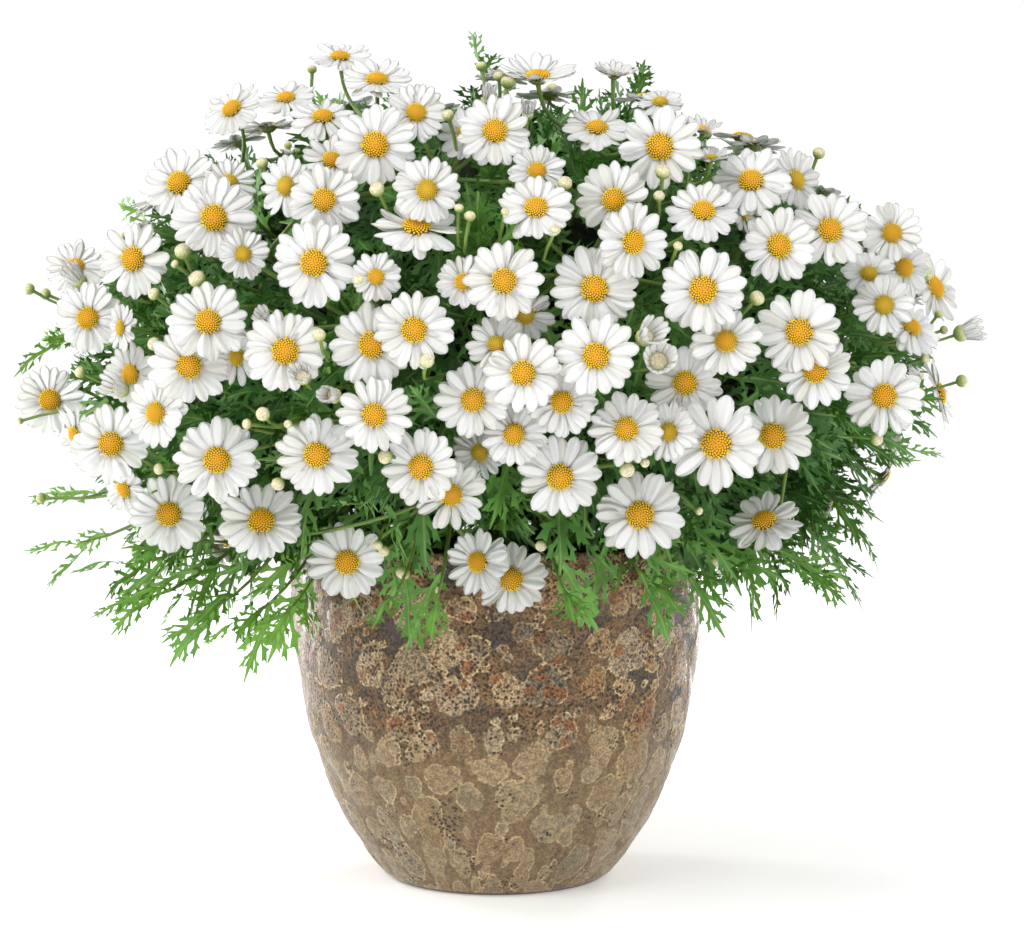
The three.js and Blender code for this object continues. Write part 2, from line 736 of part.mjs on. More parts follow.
// Woody stem: a trunk that forks under the crown
function makeWoodyStem(crownCutter) {
  const trunk = [
    new Vector2(0, stemFoot),
    new Vector2(stemRadius, stemFoot),
    new Vector2(stemRadius * 0.85, forkHeight),
    new Vector2(stemRadius * 0.6, forkHeight + forkRound * 0.8),
    new Vector2(0, forkHeight + forkRound),
  ];
  let stem = turned(trunk, trunkSides);
  const corners = Array.from({ length: limbSides }, (_, k) =>
    new Vector2(limbRadius, 0).rotateAround(new Vector2(), (turn * k) / limbSides),
  );
  const section = new THREE.Shape(corners);
  for (let i = 0; i < limbCount; i += 1) {
    const angle = (turn * (i + limbTurn * chance(i, 31))) / limbCount;
    const outwards = new Vector3(limbReach * Math.cos(angle), limbReach * Math.sin(angle), 0);
    const route = new THREE.CatmullRomCurve3([
      new Vector3(0, 0, forkHeight - 2),
      outwards.clone().multiplyScalar(limbElbow).addScaledVector(up, forkHeight + forkRound),
      outwards.clone().addScaledVector(up, forkHeight + limbRise),
    ]);
    const limb = new THREE.ExtrudeGeometry(section, { steps: 3, extrudePath: route });
    stem = stem.add(solidOfGeometry(limb));
  }
  return largest(stem.subtract(crownCutter));
}

// Assembly

const plant = new THREE.Group();

function addPiece(name, solid, material) {
  const { vertProperties, triVerts } = solid.getMesh();
  const geometry = new THREE.BufferGeometry();
  geometry.setAttribute("position", new THREE.BufferAttribute(vertProperties, 3));
  geometry.setIndex(new THREE.BufferAttribute(triVerts, 1));
  geometry.computeVertexNormals();
  const mesh = new THREE.Mesh(geometry, material);
  mesh.name = name;
  plant.add(mesh);
}

const paint = (color, roughness) => new THREE.MeshStandardMaterial({ color, roughness, metalness: 0 });

const blooms = placeBlooms();
const twigs = placeTwigs(blooms);
const crownCutter = makeCrown(crownGap);
const pot = makePot();
const soil = makeSoil();
const stem = makeWoodyStem(crownCutter);
const sprays = twigs.map((twig) => makeSpray(twig, crownCutter));
const obstacles = [pot, soil, stem, ...sprays].map((solid) => ({ solid, box: solid.boundingBox() }));
const foliage = makeFoliage(obstacles);

addPiece("pot", pot, paint("#7a5f4a", 0.45));
addPiece("soil", soil, paint("#3a2a20", 0.95));
addPiece("woody_stem", stem, paint("#6b553c", 0.85));
addPiece("foliage", foliage, paint("#3f7030", 0.55));
sprays.forEach((spray, i) => {
  addPiece("bloom_spray_" + String(i + 1).padStart(2, "0"), spray, paint("#f4f2ea", 0.6));
});

export default plant;
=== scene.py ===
import math
import random

import bpy
import numpy as np
from mathutils import Matrix, Vector


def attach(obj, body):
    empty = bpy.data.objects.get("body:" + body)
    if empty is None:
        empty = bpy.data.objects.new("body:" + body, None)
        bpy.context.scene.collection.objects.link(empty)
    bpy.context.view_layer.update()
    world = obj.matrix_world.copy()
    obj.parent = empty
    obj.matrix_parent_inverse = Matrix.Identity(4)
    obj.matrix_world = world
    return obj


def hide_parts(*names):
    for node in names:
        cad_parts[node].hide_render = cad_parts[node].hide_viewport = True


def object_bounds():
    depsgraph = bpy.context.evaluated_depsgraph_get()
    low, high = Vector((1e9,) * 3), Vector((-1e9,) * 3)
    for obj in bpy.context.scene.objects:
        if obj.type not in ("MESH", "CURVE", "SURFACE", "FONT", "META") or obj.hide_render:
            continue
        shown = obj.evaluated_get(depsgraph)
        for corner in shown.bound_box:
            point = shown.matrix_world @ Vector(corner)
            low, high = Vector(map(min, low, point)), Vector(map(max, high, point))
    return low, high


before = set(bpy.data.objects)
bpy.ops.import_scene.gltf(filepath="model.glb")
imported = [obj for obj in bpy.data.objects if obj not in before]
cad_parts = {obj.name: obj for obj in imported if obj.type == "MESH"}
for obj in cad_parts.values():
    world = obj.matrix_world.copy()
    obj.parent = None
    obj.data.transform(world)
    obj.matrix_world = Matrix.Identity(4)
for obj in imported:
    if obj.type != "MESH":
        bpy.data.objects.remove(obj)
cadBox = [list(corner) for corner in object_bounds()]
print("frame loaded:", len(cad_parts), "nodes")

up = Vector((0, 0, 1))
fullTurn = 2 * math.pi
goldenAngle = math.pi * (3 - math.sqrt(5))
inPlace = [Matrix.Identity(4)]
dice = random.Random(24)


# Small helpers

def chance(thing, purpose):  # a repeatable number from 0 to 1, the same as in the construction
    state = (thing * 7919 + purpose * 104729 + 12345) % 2**32
    for i in range(3):
        state = (state * 1664525 + 1013904223) % 2**32
    return state / 2**32


def between(limits, share):
    return limits[0] + (limits[1] - limits[0]) * share


def draw(low=0.0, high=1.0):
    return dice.uniform(low, high)


def swing(side, over, angle):
    return side * math.cos(angle) + over * math.sin(angle)


def flatAt(angle, reach=1, z=0):
    return Vector((reach * math.cos(angle), reach * math.sin(angle), z))


def squareTo(axis):
    aside = up if abs(axis.z) < 0.95 else Vector((1, 0, 0))
    side = aside.cross(axis).normalized()
    return side, axis.cross(side)


def frameMatrix(across, along, lift, at, scale):
    columns = [across * scale[0], along * scale[1], lift * scale[2]]
    turn = Matrix([[columns[c][r] for c in range(3)] for r in range(3)]).to_4x4()
    turn.translation = at
    return turn


def stacked(matrices):
    return np.array([[list(row) for row in matrix] for matrix in matrices])


def deselectAll():
    if bpy.context.object and bpy.context.object.mode != "OBJECT":
        bpy.ops.object.mode_set(mode="OBJECT")
    bpy.ops.object.select_all(action="DESELECT")


def editAll():
    bpy.ops.object.mode_set(mode="EDIT")
    bpy.ops.mesh.select_all(action="SELECT")


def turnOutwards():
    editAll()
    bpy.ops.mesh.normals_make_consistent(inside=False)
    bpy.ops.object.mode_set(mode="OBJECT")


# Nodes and materials

def colour(hexCode):  # sRGB hex to the linear colour that Blender works in
    channels = [int(hexCode[i:i + 2], 16) / 255 for i in (1, 3, 5)]
    linear = [c / 12.92 if c <= 0.04045 else ((c + 0.055) / 1.055) ** 2.4 for c in channels]
    return (*linear, 1)


def addNode(tree, kind, inputs=(), stops=(), out=None, **settings):  # returns the output that is used
    node = tree.nodes.new("ShaderNode" + kind)
    for name, value in settings.items():
        setattr(node, name, value)
    if stops:
        elements = node.color_ramp.elements
        for place, hexCode in stops[2:]:  # a ramp starts with two stops of its own
            elements.new(place)
        stops = sorted(stops)
        for element, stop in zip(elements, stops):  # all places first, because a ramp sorts its stops
            element.position = stop[0]
        for element, stop in zip(elements, stops):
            element.color = colour(stop[1])
    sockets = [socket for socket in node.inputs if not socket.is_unavailable]
    if isinstance(inputs, dict):  # by name, and else in the order of the sockets
        sockets, inputs = [node.inputs[name] for name in inputs], inputs.values()
    for socket, value in zip(sockets, inputs):
        if isinstance(value, bpy.types.NodeSocket):
            tree.links.new(value, socket)
        else:
            socket.default_value = colour(value) if isinstance(value, str) else value
    if node.outputs:
        return node.outputs[out] if out else next(end for end in node.outputs if not end.is_unavailable)


def makeMaterial(name, nodes):
    material = bpy.data.materials.new(name)
    material.use_nodes = True
    tree = material.node_tree
    tree.nodes.clear()
    addNode(tree, "OutputMaterial", {"Surface": addNode(tree, "BsdfPrincipled", nodes(tree))})
    return material


# Copies of modelled patterns are gathered in a heap, and each heap becomes one piece

def readPattern(piece, materialSlot):
    mesh = piece.data
    pattern = {"points": np.zeros(len(mesh.vertices) * 3), "uv": np.zeros(len(mesh.loops) * 2)}
    for key, source, name in (("loops", mesh.loops, "vertex_index"), ("sizes", mesh.polygons, "loop_total")):
        pattern[key] = np.zeros(len(source), np.int32)
        source.foreach_get(name, pattern[key])
    mesh.vertices.foreach_get("co", pattern["points"])
    pattern["points"] = pattern["points"].reshape(-1, 3)
    if mesh.uv_layers.active:
        mesh.uv_layers.active.data.foreach_get("uv", pattern["uv"])
    pattern["uv"] = pattern["uv"].reshape(-1, 2)
    pattern["ring"] = np.zeros(len(pattern["points"]))
    pattern["slots"] = np.full(len(mesh.polygons), materialSlot, np.int32)
    bpy.data.objects.remove(piece)
    return pattern


def newHeap():
    lists = ("points", "loops", "sizes", "slots", "uv", "ring", "tone", "age")
    return {key: [] for key in lists} | {"count": 0}


def addCopies(heap, pattern, matrices, tones, ages=None, sags=None):
    if not len(matrices):
        return
    turns = stacked(matrices)
    copies, size = len(turns), len(pattern["points"])
    placed = np.einsum("kij,nj->kni", turns[:, :3, :3], pattern["points"]) + turns[:, None, :3, 3]
    if sags is not None:  # the tip hangs by this much, and the rest by the square of its place
        placed[:, :, 2] -= np.array(sags)[:, None] * pattern["points"][None, :, 1] ** 2
    offsets = heap["count"] + size * np.arange(copies)
    heap["points"].append(placed.reshape(-1, 3))
    heap["loops"].append((pattern["loops"][None, :] + offsets[:, None]).ravel())
    for key in ("sizes", "slots", "ring"):
        heap[key].append(np.tile(pattern[key], copies))
    heap["uv"].append(np.tile(pattern["uv"], (copies, 1)))
    heap["tone"].append(np.repeat(np.array(tones, float), size))
    heap["age"].append(np.repeat(np.zeros(copies) if ages is None else np.array(ages, float), size))
    heap["count"] += copies * size


def addObject(name, data):
    thing = bpy.data.objects.new(name, data)
    bpy.context.scene.collection.objects.link(thing)
    deselectAll()
    thing.select_set(True)
    bpy.context.view_layer.objects.active = thing
    return thing


def makePiece(name, heap, materials, nodes=()):
    data = {key: np.concatenate(value) for key, value in heap.items() if key != "count"}
    mesh = bpy.data.meshes.new(name)
    mesh.vertices.add(len(data["points"]))
    mesh.vertices.foreach_set("co", data["points"].ravel())
    mesh.loops.add(len(data["loops"]))
    mesh.loops.foreach_set("vertex_index", data["loops"])
    mesh.polygons.add(len(data["sizes"]))
    mesh.polygons.foreach_set("loop_start", np.concatenate([[0], np.cumsum(data["sizes"])[:-1]]))
    for material in materials:
        mesh.materials.append(material)
    mesh.polygons.foreach_set("material_index", data["slots"])
    mesh.polygons.foreach_set("use_smooth", np.ones(len(data["sizes"]), bool))
    mesh.uv_layers.new(name="along").data.foreach_set("uv", data["uv"].ravel())
    for key in ("tone", "age", "ring"):
        mesh.attributes.new(key, "FLOAT", "POINT").data.foreach_set("value", data[key])
    mesh.update(calc_edges=True)
    mesh.validate()
    piece = addObject(name, mesh)
    bpy.ops.object.shade_smooth_by_angle(angle=math.radians(100))  # only a petal's thin edges stay sharp
    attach(piece, "root")
    if nodes:
        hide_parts(*nodes)
    return piece


def drawStems(routes, radius, sides=1):  # round stems along smooth routes of (point, width) pairs
    curve = bpy.data.curves.new("stems", "CURVE")
    curve.dimensions = "3D"
    curve.bevel_depth = radius
    curve.bevel_resolution = sides
    curve.resolution_u = 2
    curve.use_fill_caps = True
    for route in routes:
        spline = curve.splines.new("BEZIER")
        spline.bezier_points.add(len(route) - 1)
        for knot, (place, width) in zip(spline.bezier_points, route):
            knot.co = place
            knot.radius = width
            knot.handle_left_type = knot.handle_right_type = "AUTO"
    addObject("stems", curve)
    bpy.ops.object.convert(target="MESH")
    return bpy.context.object


# The bush's own dome and the reference view, as in the construction

bush = {
    "centre": Vector((0, 0, 0.330)),
    "radius": 0.285,
    "rise": 0.205,
    "drop": 0.155,
    "crownShare": 0.74,
    "crownRough": 0.04,
    "roughWaves": (11, 12, 13),
}
photoView = {"eye": Vector((0.0095, -1.150, 0.261)), "focal": 1751, "middle": (512, 472.5), "width": 1024}


def divided(point, size):
    return Vector([a / b for a, b in zip(point, size)])


def domeSize(z):
    return Vector((bush["radius"], bush["radius"], bush["rise"] if z > 0 else bush["drop"]))


def domeAt(direction, share):
    return bush["centre"] + direction * domeSize(direction.z) * share


def domeScaled(point):
    away = point - bush["centre"]
    return divided(away, domeSize(away.z))


def domeNormal(direction):
    return divided(direction, domeSize(direction.z)).normalized()


def spiral(step, steps, lowest=-1):
    z = 1 - (1 - lowest) * (step + 0.5) / steps
    return flatAt(step * goldenAngle, math.sqrt(1 - z * z), z)


def crownAt(direction):
    a, b, c = bush["roughWaves"]
    x, y, z = direction
    rough = math.sin(a * x + b * y + 1) + math.sin(b * y - c * z + 2) * math.cos(a * z + c * x)
    return domeAt(direction, bush["crownShare"] * (1 + bush["crownRough"] * rough))


def sightLine(across, down):
    middle, focal = photoView["middle"], photoView["focal"]
    return Vector(((across - middle[0]) / focal, 1, (middle[1] - down) / focal))


def meetDome(line):  # where a line of sight meets the dome's upper or lower half
    eye = photoView["eye"]
    for height in (bush["rise"], bush["drop"]):
        size = Vector((bush["radius"], bush["radius"], height))
        start, along = divided(eye - bush["centre"], size), divided(line, size)
        a, b, c = along.dot(along), start.dot(along), start.dot(start) - 1
        depth = (-b - math.sqrt(max(b * b - a * c, 0))) / a
        point = eye + line * depth
        if (point.z > bush["centre"].z) == (height == bush["rise"]):
            break
    return depth, point


# Blooms: each row is across, down and width in the photo's pixels, then lift and turn in degrees

seenBlooms = [
    (340, 57, 62, 65, 0), (538, 77, 82, 72, 0), (375, 145, 84, 10, 0), (377, 80, 70, 58, 0),
    (323, 117, 68, 55, 0), (286, 98, 60, 60, -15), (232, 109, 66, 40, -35), (416, 113, 64, 25, 5),
    (495, 131, 76, 15, 0), (466, 133, 60, 30, -10), (324, 200, 74, 5, 0), (332, 160, 62, 35, 0),
    (614, 75, 48, 75, 20), (660, 147, 86, 8, 0), (660, 102, 48, 55, 0), (597, 128, 72, 55, 5),
    (703, 130, 44, 70, 20), (711, 158, 40, 70, 0), (536, 208, 75, 32, 0), (537, 171, 58, 20, 0),
    (214, 218, 84, 8, 0), (179, 183, 76, 25, -15), (286, 186, 64, 10, -35), (229, 182, 56, 35, 0),
    (427, 190, 68, 10, -5), (417, 227, 90, 54, 0), (633, 242, 76, 0, 25), (614, 200, 76, 5, -8),
    (703, 211, 74, 35, 8), (751, 181, 80, 35, 0), (796, 180, 64, 15, 45), (779, 246, 78, 10, 15),
    (743, 213, 50, 20, 60), (830, 230, 78, 15, 15), (892, 233, 62, 5, 5), (133, 259, 78, 5, -25),
    (75, 267, 62, 35, -10), (314, 263, 86, 3, -5), (243, 254, 52, 5, 0), (376, 277, 52, 5, 0),
    (504, 281, 80, 3, 0), (463, 282, 54, 5, -10), (594, 289, 88, 12, 8), (703, 290, 88, 3, 0),
    (884, 305, 62, 5, 10), (911, 327, 66, 35, 40), (935, 288, 74, 20, 55), (869, 274, 56, 30, 10),
    (904, 268, 64, 10, 30), (88, 318, 70, 3, -12), (189, 366, 80, 0, 0), (208, 322, 80, 15, 0),
    (285, 351, 84, 0, 0), (237, 357, 60, 0, -40), (372, 345, 86, 0, 0), (414, 330, 80, 3, 5),
    (523, 373, 80, 0, -5), (497, 345, 62, 20, 0), (525, 315, 64, -5, 15), (596, 356, 84, 0, 0),
    (562, 402, 72, 0, -10), (473, 400, 78, -5, 0), (726, 341, 72, 0, 0), (815, 371, 76, 0, 0),
    (799, 332, 86, 3, 0), (884, 396, 78, 0, 3), (50, 400, 68, 0, -5), (111, 444, 78, 0, -8),
    (156, 413, 70, 0, -35), (131, 374, 66, 0, -40), (76, 436, 66, -20, -60), (121, 328, 50, 0, -60),
    (374, 415, 76, 0, 0), (317, 455, 82, 0, 0), (217, 460, 84, -3, 0), (169, 514, 78, 0, -8),
    (124, 489, 58, -20, -50), (261, 521, 84, 25, 0), (347, 562, 78, -3, -3), (451, 495, 72, 0, 0),
    (421, 467, 80, 0, -15), (514, 434, 70, 0, 0), (479, 453, 60, 10, 25), (560, 477, 86, -10, 0),
    (511, 579, 75, 0, 0), (478, 562, 68, 0, -30), (716, 444, 95, 0, 0), (626, 429, 74, 5, 0),
    (669, 432, 60, 0, -25), (685, 383, 80, 5, 0), (640, 515, 88, 0, 0), (773, 436, 84, 0, -3),
    (764, 521, 76, 40, -15),
]
placing = {
    "farSpiral": 122,
    "farLowest": 0.205,
    "farWidths": (0.033, 0.046),
    "farLift": 0.3,
    "farWander": 0.45,
    "layerStep": 0.008,
    "layerMost": 6,
    "layerClear": 0.005,
    "sideClear": 0.001,
    "discRings": ((8, 0.55), (16, 1)),
    "twigSpiral": 52,
    "twigLowest": -0.7,
    "stalkFoot": 0.014,
    "cupDepth": 0.22,
    "stalkStraight": 0.010,
    "bendBelow": 0.6,
    "topFrom": 0.4,  # blooms of the far side that are higher sit lower and look up, to stay hidden
    "topSink": 0.024,
    "topLift": 1.1,
    "moreSpiral": 331,  # the extra blooms of the far side
    "moreHighest": 0.48,
    "moreShares": (0.9, 0.97),
    "moreRadii": (0.016, 0.023),
    "moreLift": 0.25,
    "moreWander": 0.3,
}


def bloomAt(index, centre, facing, radius, inward):
    return {"index": index, "centre": centre, "facing": facing, "radius": radius, "inward": inward}


def seenBloom(row, index):
    across, down, width, lift, aside = row
    line = sightLine(across, down)
    depth, point = meetDome(line)
    back = -line.normalized()
    right = (Vector((1, 0, 0)) - back * back.x).normalized()
    above = back.cross(right)
    lift, aside = math.radians(lift), math.radians(aside)
    level = back * math.cos(lift) * math.cos(aside) + right * math.cos(lift) * math.sin(aside)
    radius = width / 2 / photoView["focal"] * depth
    return bloomAt(index, point, level + above * math.sin(lift), radius, line.normalized())


def farBloom(step, index):
    direction = spiral(step, placing["farSpiral"])
    outward = domeNormal(direction)
    wander = Vector([placing["farWander"] * (chance(step, purpose) - 0.5) for purpose in (1, 2, 3)])
    facing = (outward + up * placing["farLift"] + wander).normalized()
    radius = between(placing["farWidths"], math.sqrt(chance(step, 4))) / 2
    return bloomAt(index, domeAt(direction, 1), facing, radius, -outward)


def isFar(bloom):
    return bloom["index"] >= len(seenBlooms)


def inView(bloom):  # on the side that the photo shows
    return bloom["inward"].dot(photoView["eye"] - bloom["centre"]) <= 0


def discPoints(bloom):
    side, over = squareTo(bloom["facing"])
    points = [bloom["centre"]]
    for count, share in placing["discRings"]:
        for i in range(count):
            angle = fullTurn * i / count
            reach = bloom["radius"] * share
            points.append(bloom["centre"] + side * reach * math.cos(angle) + over * reach * math.sin(angle))
    return points


def nears(points, bloom):
    for point in points:
        away = point - bloom["centre"]
        height = away.dot(bloom["facing"])
        across = math.sqrt(max(away.length_squared - height * height, 0))
        if abs(height) < placing["layerClear"] and across < bloom["radius"] + placing["sideClear"]:
            return True
    return False


def touching(a, b):
    if (a["centre"] - b["centre"]).length > a["radius"] + b["radius"] + placing["layerClear"]:
        return False
    return nears(discPoints(a), b) or nears(discPoints(b), a)


def touchesAny(bloom, others):
    return any(touching(bloom, other) for other in others)


def placeBlooms():
    placed = []
    for row in seenBlooms:
        bloom = seenBloom(row, len(placed))
        for layer in range(placing["layerMost"]):
            if not touchesAny(bloom, placed):
                break
            bloom["centre"] = bloom["centre"] + bloom["inward"] * placing["layerStep"]
        placed.append(bloom)
    for step in range(placing["farSpiral"]):
        bloom = farBloom(step, len(placed))
        if inView(bloom) or bloom["centre"].z < placing["farLowest"]:
            continue
        if not touchesAny(bloom, placed):
            placed.append(bloom)
    return placed


def stalkPath(bloom, twigTop):
    cup = bloom["centre"] - bloom["facing"] * placing["cupDepth"] * bloom["radius"]
    if (cup - twigTop).normalized().dot(bloom["facing"]) > placing["bendBelow"]:
        return [cup, twigTop]
    return [cup, cup - bloom["facing"] * placing["stalkStraight"], twigTop]


def stalkClears(bloom, path):  # whether the stalk passes beside its own bloom's petals
    last, twigTop = path[-2:]
    start = (last - bloom["centre"]).dot(bloom["facing"])
    finish = (twigTop - bloom["centre"]).dot(bloom["facing"])
    if finish < start / 2:
        return True
    through = last.lerp(twigTop, start / (start - finish))
    return (through - bloom["centre"]).length > bloom["radius"] + placing["layerClear"]


def joinTwig(bloom):
    place = domeScaled(bloom["centre"]).normalized()
    near = [twig for twig in twigs if stalkClears(bloom, stalkPath(bloom, twig["top"]))]
    max(near, key=lambda twig: twig["direction"].dot(place))["blooms"].append(bloom)


def placeTwigs():
    placed = []
    for step in range(placing["twigSpiral"]):
        direction = spiral(step, placing["twigSpiral"], placing["twigLowest"])
        outward = domeNormal(direction)
        foot = crownAt(direction)
        top = foot + outward * placing["stalkFoot"]
        placed.append({"direction": direction, "outward": outward, "foot": foot, "top": top, "blooms": []})
    return placed


def addFarBlooms():  # more blooms in the gaps of the far side, a little lower than their neighbours
    steps, wander = placing["moreSpiral"], placing["moreWander"]
    for step in range(steps):
        direction = spiral(step, steps)
        outward = domeNormal(direction)
        centre = domeAt(direction, draw(*placing["moreShares"]))
        lift = placing["moreLift"] if centre.z < placing["topFrom"] else placing["topLift"]
        facing = (outward + up * lift + Vector([draw(-wander, wander) for axis in range(3)])).normalized()
        bloom = bloomAt(len(blooms), centre, facing, draw(*placing["moreRadii"]), -outward)
        if inView(bloom) or centre.z < placing["farLowest"] or centre.z > placing["moreHighest"]:
            continue
        if not touchesAny(bloom, blooms):
            joinTwig(bloom)
            blooms.append(bloom)


blooms = placeBlooms()
twigs = placeTwigs()
for bloom in blooms:
    joinTwig(bloom)
twigs = [twig for twig in twigs if twig["blooms"]]
for bloom in blooms:
    if isFar(bloom) and bloom["centre"].z > placing["topFrom"]:
        bloom["centre"] += bloom["inward"] * placing["topSink"]
        bloom["facing"] = (bloom["facing"] + up * placing["topLift"]).normalized()
addFarBlooms()
print("blooms placed:", len(blooms), "on", len(twigs), "twigs")


# Materials of the blooms

def petalSkinNodes(tree):  # fresh ray petals: matt white, faint furrows, yellow-green on the small end faces
    uv = addNode(tree, "UVMap", uv_map="along")
    along = addNode(tree, "SeparateXYZ", [uv], out="Y")
    root = addNode(tree, "MapRange", (along, 0.12, 0.38, 1, 0), interpolation_type="SMOOTHSTEP")
    young = addNode(tree, "Math", (addNode(tree, "Attribute", attribute_name="age", out="Fac"), 0.12), operation="ADD")
    green = addNode(tree, "Math", (root, young), operation="MULTIPLY")
    tone = addNode(tree, "Attribute", attribute_name="tone", out="Fac")
    white = addNode(tree, "ValToRGB", [tone], [(0, "#e6e4da"), (1, "#f9f9f7"), (0.5, "#f3f2ee")])
    across = addNode(tree, "Math", (addNode(tree, "SeparateXYZ", [uv]), 3 * fullTurn), operation="MULTIPLY")
    ribs = addNode(tree, "Math", [across], operation="COSINE")
    return {
        "Base Color": addNode(tree, "Mix", (green, white, "#c9c65a"), data_type="RGBA"), "Roughness": 0.6, "IOR": 1.4,
        "Specular IOR Level": 0.3, "Subsurface Weight": 0.38, "Subsurface Radius": (0.003, 0.003, 0.0026),
        "Subsurface Scale": 1, "Normal": addNode(tree, "Bump", {"Strength": 1, "Distance": 0.0005, "Height": ribs}),
    }


def discFloretNodes(tree):  # disc florets: waxy golden yellow, deeper orange where they are still shut
    ring = addNode(tree, "Attribute", attribute_name="ring", out="Fac")
    age = addNode(tree, "Attribute", attribute_name="age", out="Fac")
    ripe = addNode(tree, "ValToRGB", [ring], [(0, "#e8a008"), (1, "#ffd62a"), (0.45, "#fbb60a")])
    return {
        "Base Color": addNode(tree, "Mix", (age, ripe, "#d8bf2c"), data_type="RGBA"), "Roughness": 0.5,
        "Specular IOR Level": 0.4, "Subsurface Weight": 0.1, "Subsurface Radius": (0.001, 0.0006, 0.0002),
        "Subsurface Scale": 1,
    }


def discGroundNodes(tree):  # between the florets: brown shadow towards the rim, orange in the shut middle
    ring = addNode(tree, "Attribute", attribute_name="ring", out="Fac")
    ground = addNode(tree, "ValToRGB", [ring], [(0, "#b87c0e"), (1, "#4f3006"), (0.5, "#8a5a0a")])
    return {"Base Color": ground, "Roughness": 0.8}


def calyxNodes(tree):  # bracts under the bloom: green scales about 2.4 mm across with thin brown edges
    at = addNode(tree, "TexCoord", out="Object")
    scales = addNode(tree, "TexVoronoi", {"Vector": at, "Scale": 420}, feature="DISTANCE_TO_EDGE")
    edge = addNode(tree, "ValToRGB", [scales], [(0, "#6d5a34"), (1, "#8fa558"), (0.12, "#7b8f48")])
    bump = addNode(tree, "Bump", {"Strength": 0.5, "Distance": 0.0005, "Height": scales})
    return {"Base Color": edge, "Roughness": 0.55, "Normal": bump}


def stalkNodes(tree):  # green herb stalk: satin, a little paler in streaks
    streaks = addNode(tree, "TexNoise", {"Vector": addNode(tree, "TexCoord", out="Object"), "Scale": 60, "Detail": 3})
    green = addNode(tree, "ValToRGB", [streaks], [(0.3, "#4c6a2a"), (0.7, "#86a04c")])
    return {"Base Color": green, "Roughness": 0.45, "Specular IOR Level": 0.45}


petalSkin = makeMaterial("petalSkin", petalSkinNodes)
discFloret = makeMaterial("discFloret", discFloretNodes)
discGround = makeMaterial("discGround", discGroundNodes)
calyxScales = makeMaterial("calyxScales", calyxNodes)
stalkGreen = makeMaterial("stalkGreen", stalkNodes)
bloomMaterials = [petalSkin, discFloret, discGround, calyxScales, stalkGreen]
print("bloom materials made")


# One ray petal, in shares of its own length: a thin closed blade with a blunt tip

petalShape = {
    "sides": 6,
    "cuts": (0.42, 0.68, 0.86, 0.96),
    "lightCuts": (0.36, 0.7, 0.93),  # for the far side
    "halfWidths": ((0, 0.42), (0.16, 0.6), (0.42, 0.88), (0.68, 1), (0.86, 0.8), (0.96, 0.42), (1, 0.16)),
    "halfThickness": 0.05,
    "notch": 0.02,
    "kinds": ((0.03, -0.1), (-0.12, -0.2), (0.08, -0.3)),  # how far the tip bends and the edges cup
}


def modelPetal(tipBend, edgeCup, cuts):
    deselectAll()
    bpy.ops.mesh.primitive_cylinder_add(vertices=petalShape["sides"], radius=1, depth=1, location=(0, 0, 0.5))
    petal = bpy.context.object
    bpy.ops.object.transform_apply(location=True)
    bpy.ops.object.mode_set(mode="EDIT")
    for cut in cuts:
        bpy.ops.mesh.select_all(action="SELECT")
        bpy.ops.mesh.bisect(plane_co=(0, 0, cut), plane_no=(0, 0, 1))
    bpy.ops.object.mode_set(mode="OBJECT")
    shares, widths = zip(*petalShape["halfWidths"])
    for corner in petal.data.vertices:
        along = corner.co.z
        angle = math.atan2(corner.co.y, corner.co.x) + math.pi / 2  # a corner of the hexagon on each edge
        across, height = math.cos(angle), math.sin(angle)
        flat = across * float(np.interp(along, shares, widths))
        lift = height * petalShape["halfThickness"] + edgeCup * flat * flat + tipBend * along * along * 4
        notch = petalShape["notch"] * (1 - abs(across)) if along > 0.99 else 0
        corner.co = (flat, along - notch, lift)
    turnOutwards()
    return readPattern(petal, 0)


fullPetals, lightPetals = (
    [modelPetal(*kind, petalShape[cuts]) for kind in petalShape["kinds"]] for cuts in ("cuts", "lightCuts")
)


# The disc of one bloom, in shares of the disc's radius: a low dome set with florets on a spiral

discShape = {
    "full": {"florets": 96, "rimFlorets": 22, "sides": 5, "widen": 1},
    "light": {"florets": 60, "rimFlorets": 14, "sides": 4, "widen": 1.25},  # for the far side
    "segments": 14,
    "domeHeight": 0.42,
    "groundFoot": -0.2,
    "floretWidths": (0.115, 0.08),  # in the middle and at the edge
    "floretHeight": 0.15,
    "opening": (0.75, 1.3),  # outer florets are open and stand taller
    "sunk": 0.03,
    "rimPlace": (0.9, 0.09),  # outwards and up
    "rimWidth": 0.075,
    "rimHeights": (0.18, 0.3),
}


def modelFloret(sides):
    deselectAll()
    bpy.ops.mesh.primitive_cone_add(vertices=sides, radius1=1, radius2=0, depth=1, end_fill_type="NOTHING",
                                    location=(0, 0, 0.5))
    bpy.ops.object.transform_apply(location=True)
    return readPattern(bpy.context.object, 1)


def modelDiscGround():
    deselectAll()
    bpy.ops.mesh.primitive_uv_sphere_add(segments=discShape["segments"], ring_count=8, radius=1)
    ground = bpy.context.object
    editAll()
    foot = (0, 0, discShape["groundFoot"])
    bpy.ops.mesh.bisect(plane_co=foot, plane_no=(0, 0, 1), clear_inner=True, use_fill=True)
    bpy.ops.object.mode_set(mode="OBJECT")
    for corner in ground.data.vertices:
        corner.co.z *= discShape["domeHeight"]
    pattern = readPattern(ground, 2)
    pattern["ring"] = np.linalg.norm(pattern["points"][:, :2], axis=1)
    return pattern


